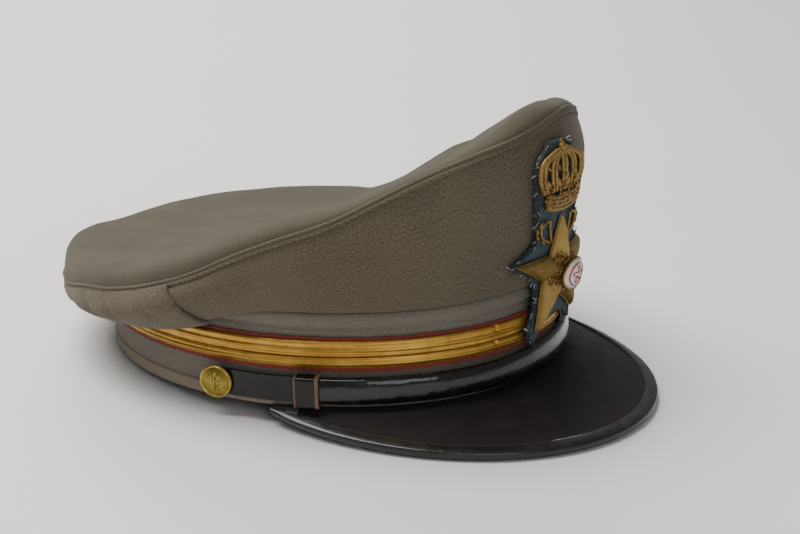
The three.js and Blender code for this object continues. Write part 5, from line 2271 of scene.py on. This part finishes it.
        red = bmesh.new()
        self.twist(red, [on_dome(angle, 0.74) for angle in [*ring(24), 0.0]], 0.34, 0)
        for angle in ring(5):
            petal = [on_dome(angle - 0.28, 0.14), on_dome(angle - 0.42, 0.36), on_dome(angle, 0.56),
                     on_dome(angle + 0.42, 0.36), on_dome(angle + 0.28, 0.14)]
            self.twist(red, petal, 0.26, 0)
        self.bench.finish(red, "badge_boss_lines", [RED_ENAMEL], "enamel")
        collar = bmesh.new()
        reach = self.boss_radius + 0.3
        route = [(*self.boss_place(angle, reach), foot + 0.35) for angle in [*ring(32), 0.0]]
        self.twist(collar, route, 0.55, 2)
        self.bench.finish(collar, "badge_boss_collar", [BULLION], "bullion")

    def build(self) -> None:
        """Builds the badge from its ground up."""
        self.felt()
        self.fringe()
        self.royal_crown()
        for side in Side:
            self.spray(side)
        self.star()
        self.boss()


# Studio

@dataclass
class Studio:
    """Pale floor, soft light and the camera at the photograph's angle."""

    rest: Matrix
    azimuth: float = -60.0
    elevation: float = 19.5
    roll: float = 2.0
    distance: float = 672.34
    focal_pixels: float = 1550.72
    image_width: float = 800.0
    aim_right: float = 28.6
    aim_high: float = 36.8
    sensor: float = 36.0

    def camera(self) -> None:
        """Sets up the camera."""
        a, e, r = (math.radians(v) for v in (self.azimuth, self.elevation, self.roll))
        back = Vector((math.sin(a) * math.cos(e), -math.cos(a) * math.cos(e), math.sin(e)))
        flat_right = Vector((math.cos(a), math.sin(a), 0.0))
        flat_up = back.cross(flat_right)
        right = flat_right * math.cos(r) + flat_up * math.sin(r)
        up = flat_up * math.cos(r) - flat_right * math.sin(r)
        origin = self.rest.translation / MILLIMETRE
        offset = Vector((origin.x, origin.y, 0.0))
        aim = flat_right * self.aim_right + Vector((0.0, 0.0, self.aim_high))
        place = aim + back * self.distance + offset
        data = bpy.data.cameras.new("photo_camera")
        data.sensor_width = self.sensor
        data.lens = self.focal_pixels / self.image_width * self.sensor
        data.clip_start = 0.01
        camera = bpy.data.objects.new("photo_camera", data)
        turn = Matrix((right, up, back)).transposed().to_4x4()
        camera.matrix_world = Matrix.Translation(place * MILLIMETRE) @ turn
        bpy.context.scene.collection.objects.link(camera)
        bpy.context.scene.camera = camera

    def floor(self) -> None:
        """Lays the pale floor."""
        material, desk = new_material("pale floor")
        cloud = desk.effect("Patches", desk.space(Space.SOLID), Size=400.0, Bare=0.5)
        colour = desk.tint(paint((228, 226, 224)), cloud.outputs["Mask"], 0.3, paint((222, 221, 221)))
        desk.finish(Base_Color=colour, Roughness=0.6)
        bm = bmesh.new()
        bmesh.ops.create_grid(bm, x_segments=8, y_segments=8, size=6.0)
        mesh = bpy.data.meshes.new("floor")
        bm.to_mesh(mesh)
        bm.free()
        mesh.materials.append(material)
        floor = bpy.data.objects.new("floor", mesh)
        bpy.context.scene.collection.objects.link(floor)

    def light(self, name: str, place: Triple, aim: Triple,
              size: float, power: float, colour: Triple) -> None:
        """Hangs one soft light.

        Args:
            name: the light's name.
            place: where it hangs, in metres.
            aim: what it faces.
            size: side of its square.
            power: its strength in watts.
            colour: its colour.
        """
        data = bpy.data.lights.new(name, "AREA")
        data.shape, data.size, data.energy, data.color = "SQUARE", size, power, colour
        lamp = bpy.data.objects.new(name, data)
        lamp.location = place
        lamp.rotation_euler = (Vector(aim) - Vector(place)).to_track_quat("-Z", "Y").to_euler()
        bpy.context.scene.collection.objects.link(lamp)

    def build(self) -> None:
        """Sets up the floor, the lights, the surroundings and the camera."""
        self.floor()
        self.light("overhead", (-0.3, 0.55, 1.5), (0.0, 0.0, 0.05), 1.1, 40.0, (1.0, 0.99, 0.97))
        self.light("window", (-1.1, -1.2, 0.9), (0.0, 0.0, 0.05), 0.9, 7.0, (0.96, 0.98, 1.0))
        self.light("back", (0.9, 0.9, 0.9), (0.0, 0.0, 0.05), 0.8, 8.0, (1.0, 0.98, 0.96))
        self.light("backdrop", (1.9, 1.3, 1.5), (2.3, 1.5, 0.0), 1.4, 36.0, (1.0, 0.98, 0.97))
        world = bpy.data.worlds.new("studio")
        world.use_nodes = True
        world.node_tree.nodes["Background"].inputs[0].default_value = (0.86, 0.87, 0.9, 1.0)
        world.node_tree.nodes["Background"].inputs[1].default_value = 0.26
        bpy.context.scene.world = world
        self.camera()


def main() -> None:
    """Builds the cap from the band up, then the studio round it."""
    logging.basicConfig(level=logging.INFO, format="%(name)s: %(message)s")
    head = HeadBand()
    rest = head.rest()
    bench = Piece(rest)
    band = BandAndLace(head, bench)
    band.build()
    crown = Crown(head, bench)
    crown.build()
    Peak(head, bench).build()
    ChinStrap(head, bench).build()
    Badge(head, crown, bench, band.lace_face).build()
    Studio(rest).build()


if __name__ == "__main__":
    main()
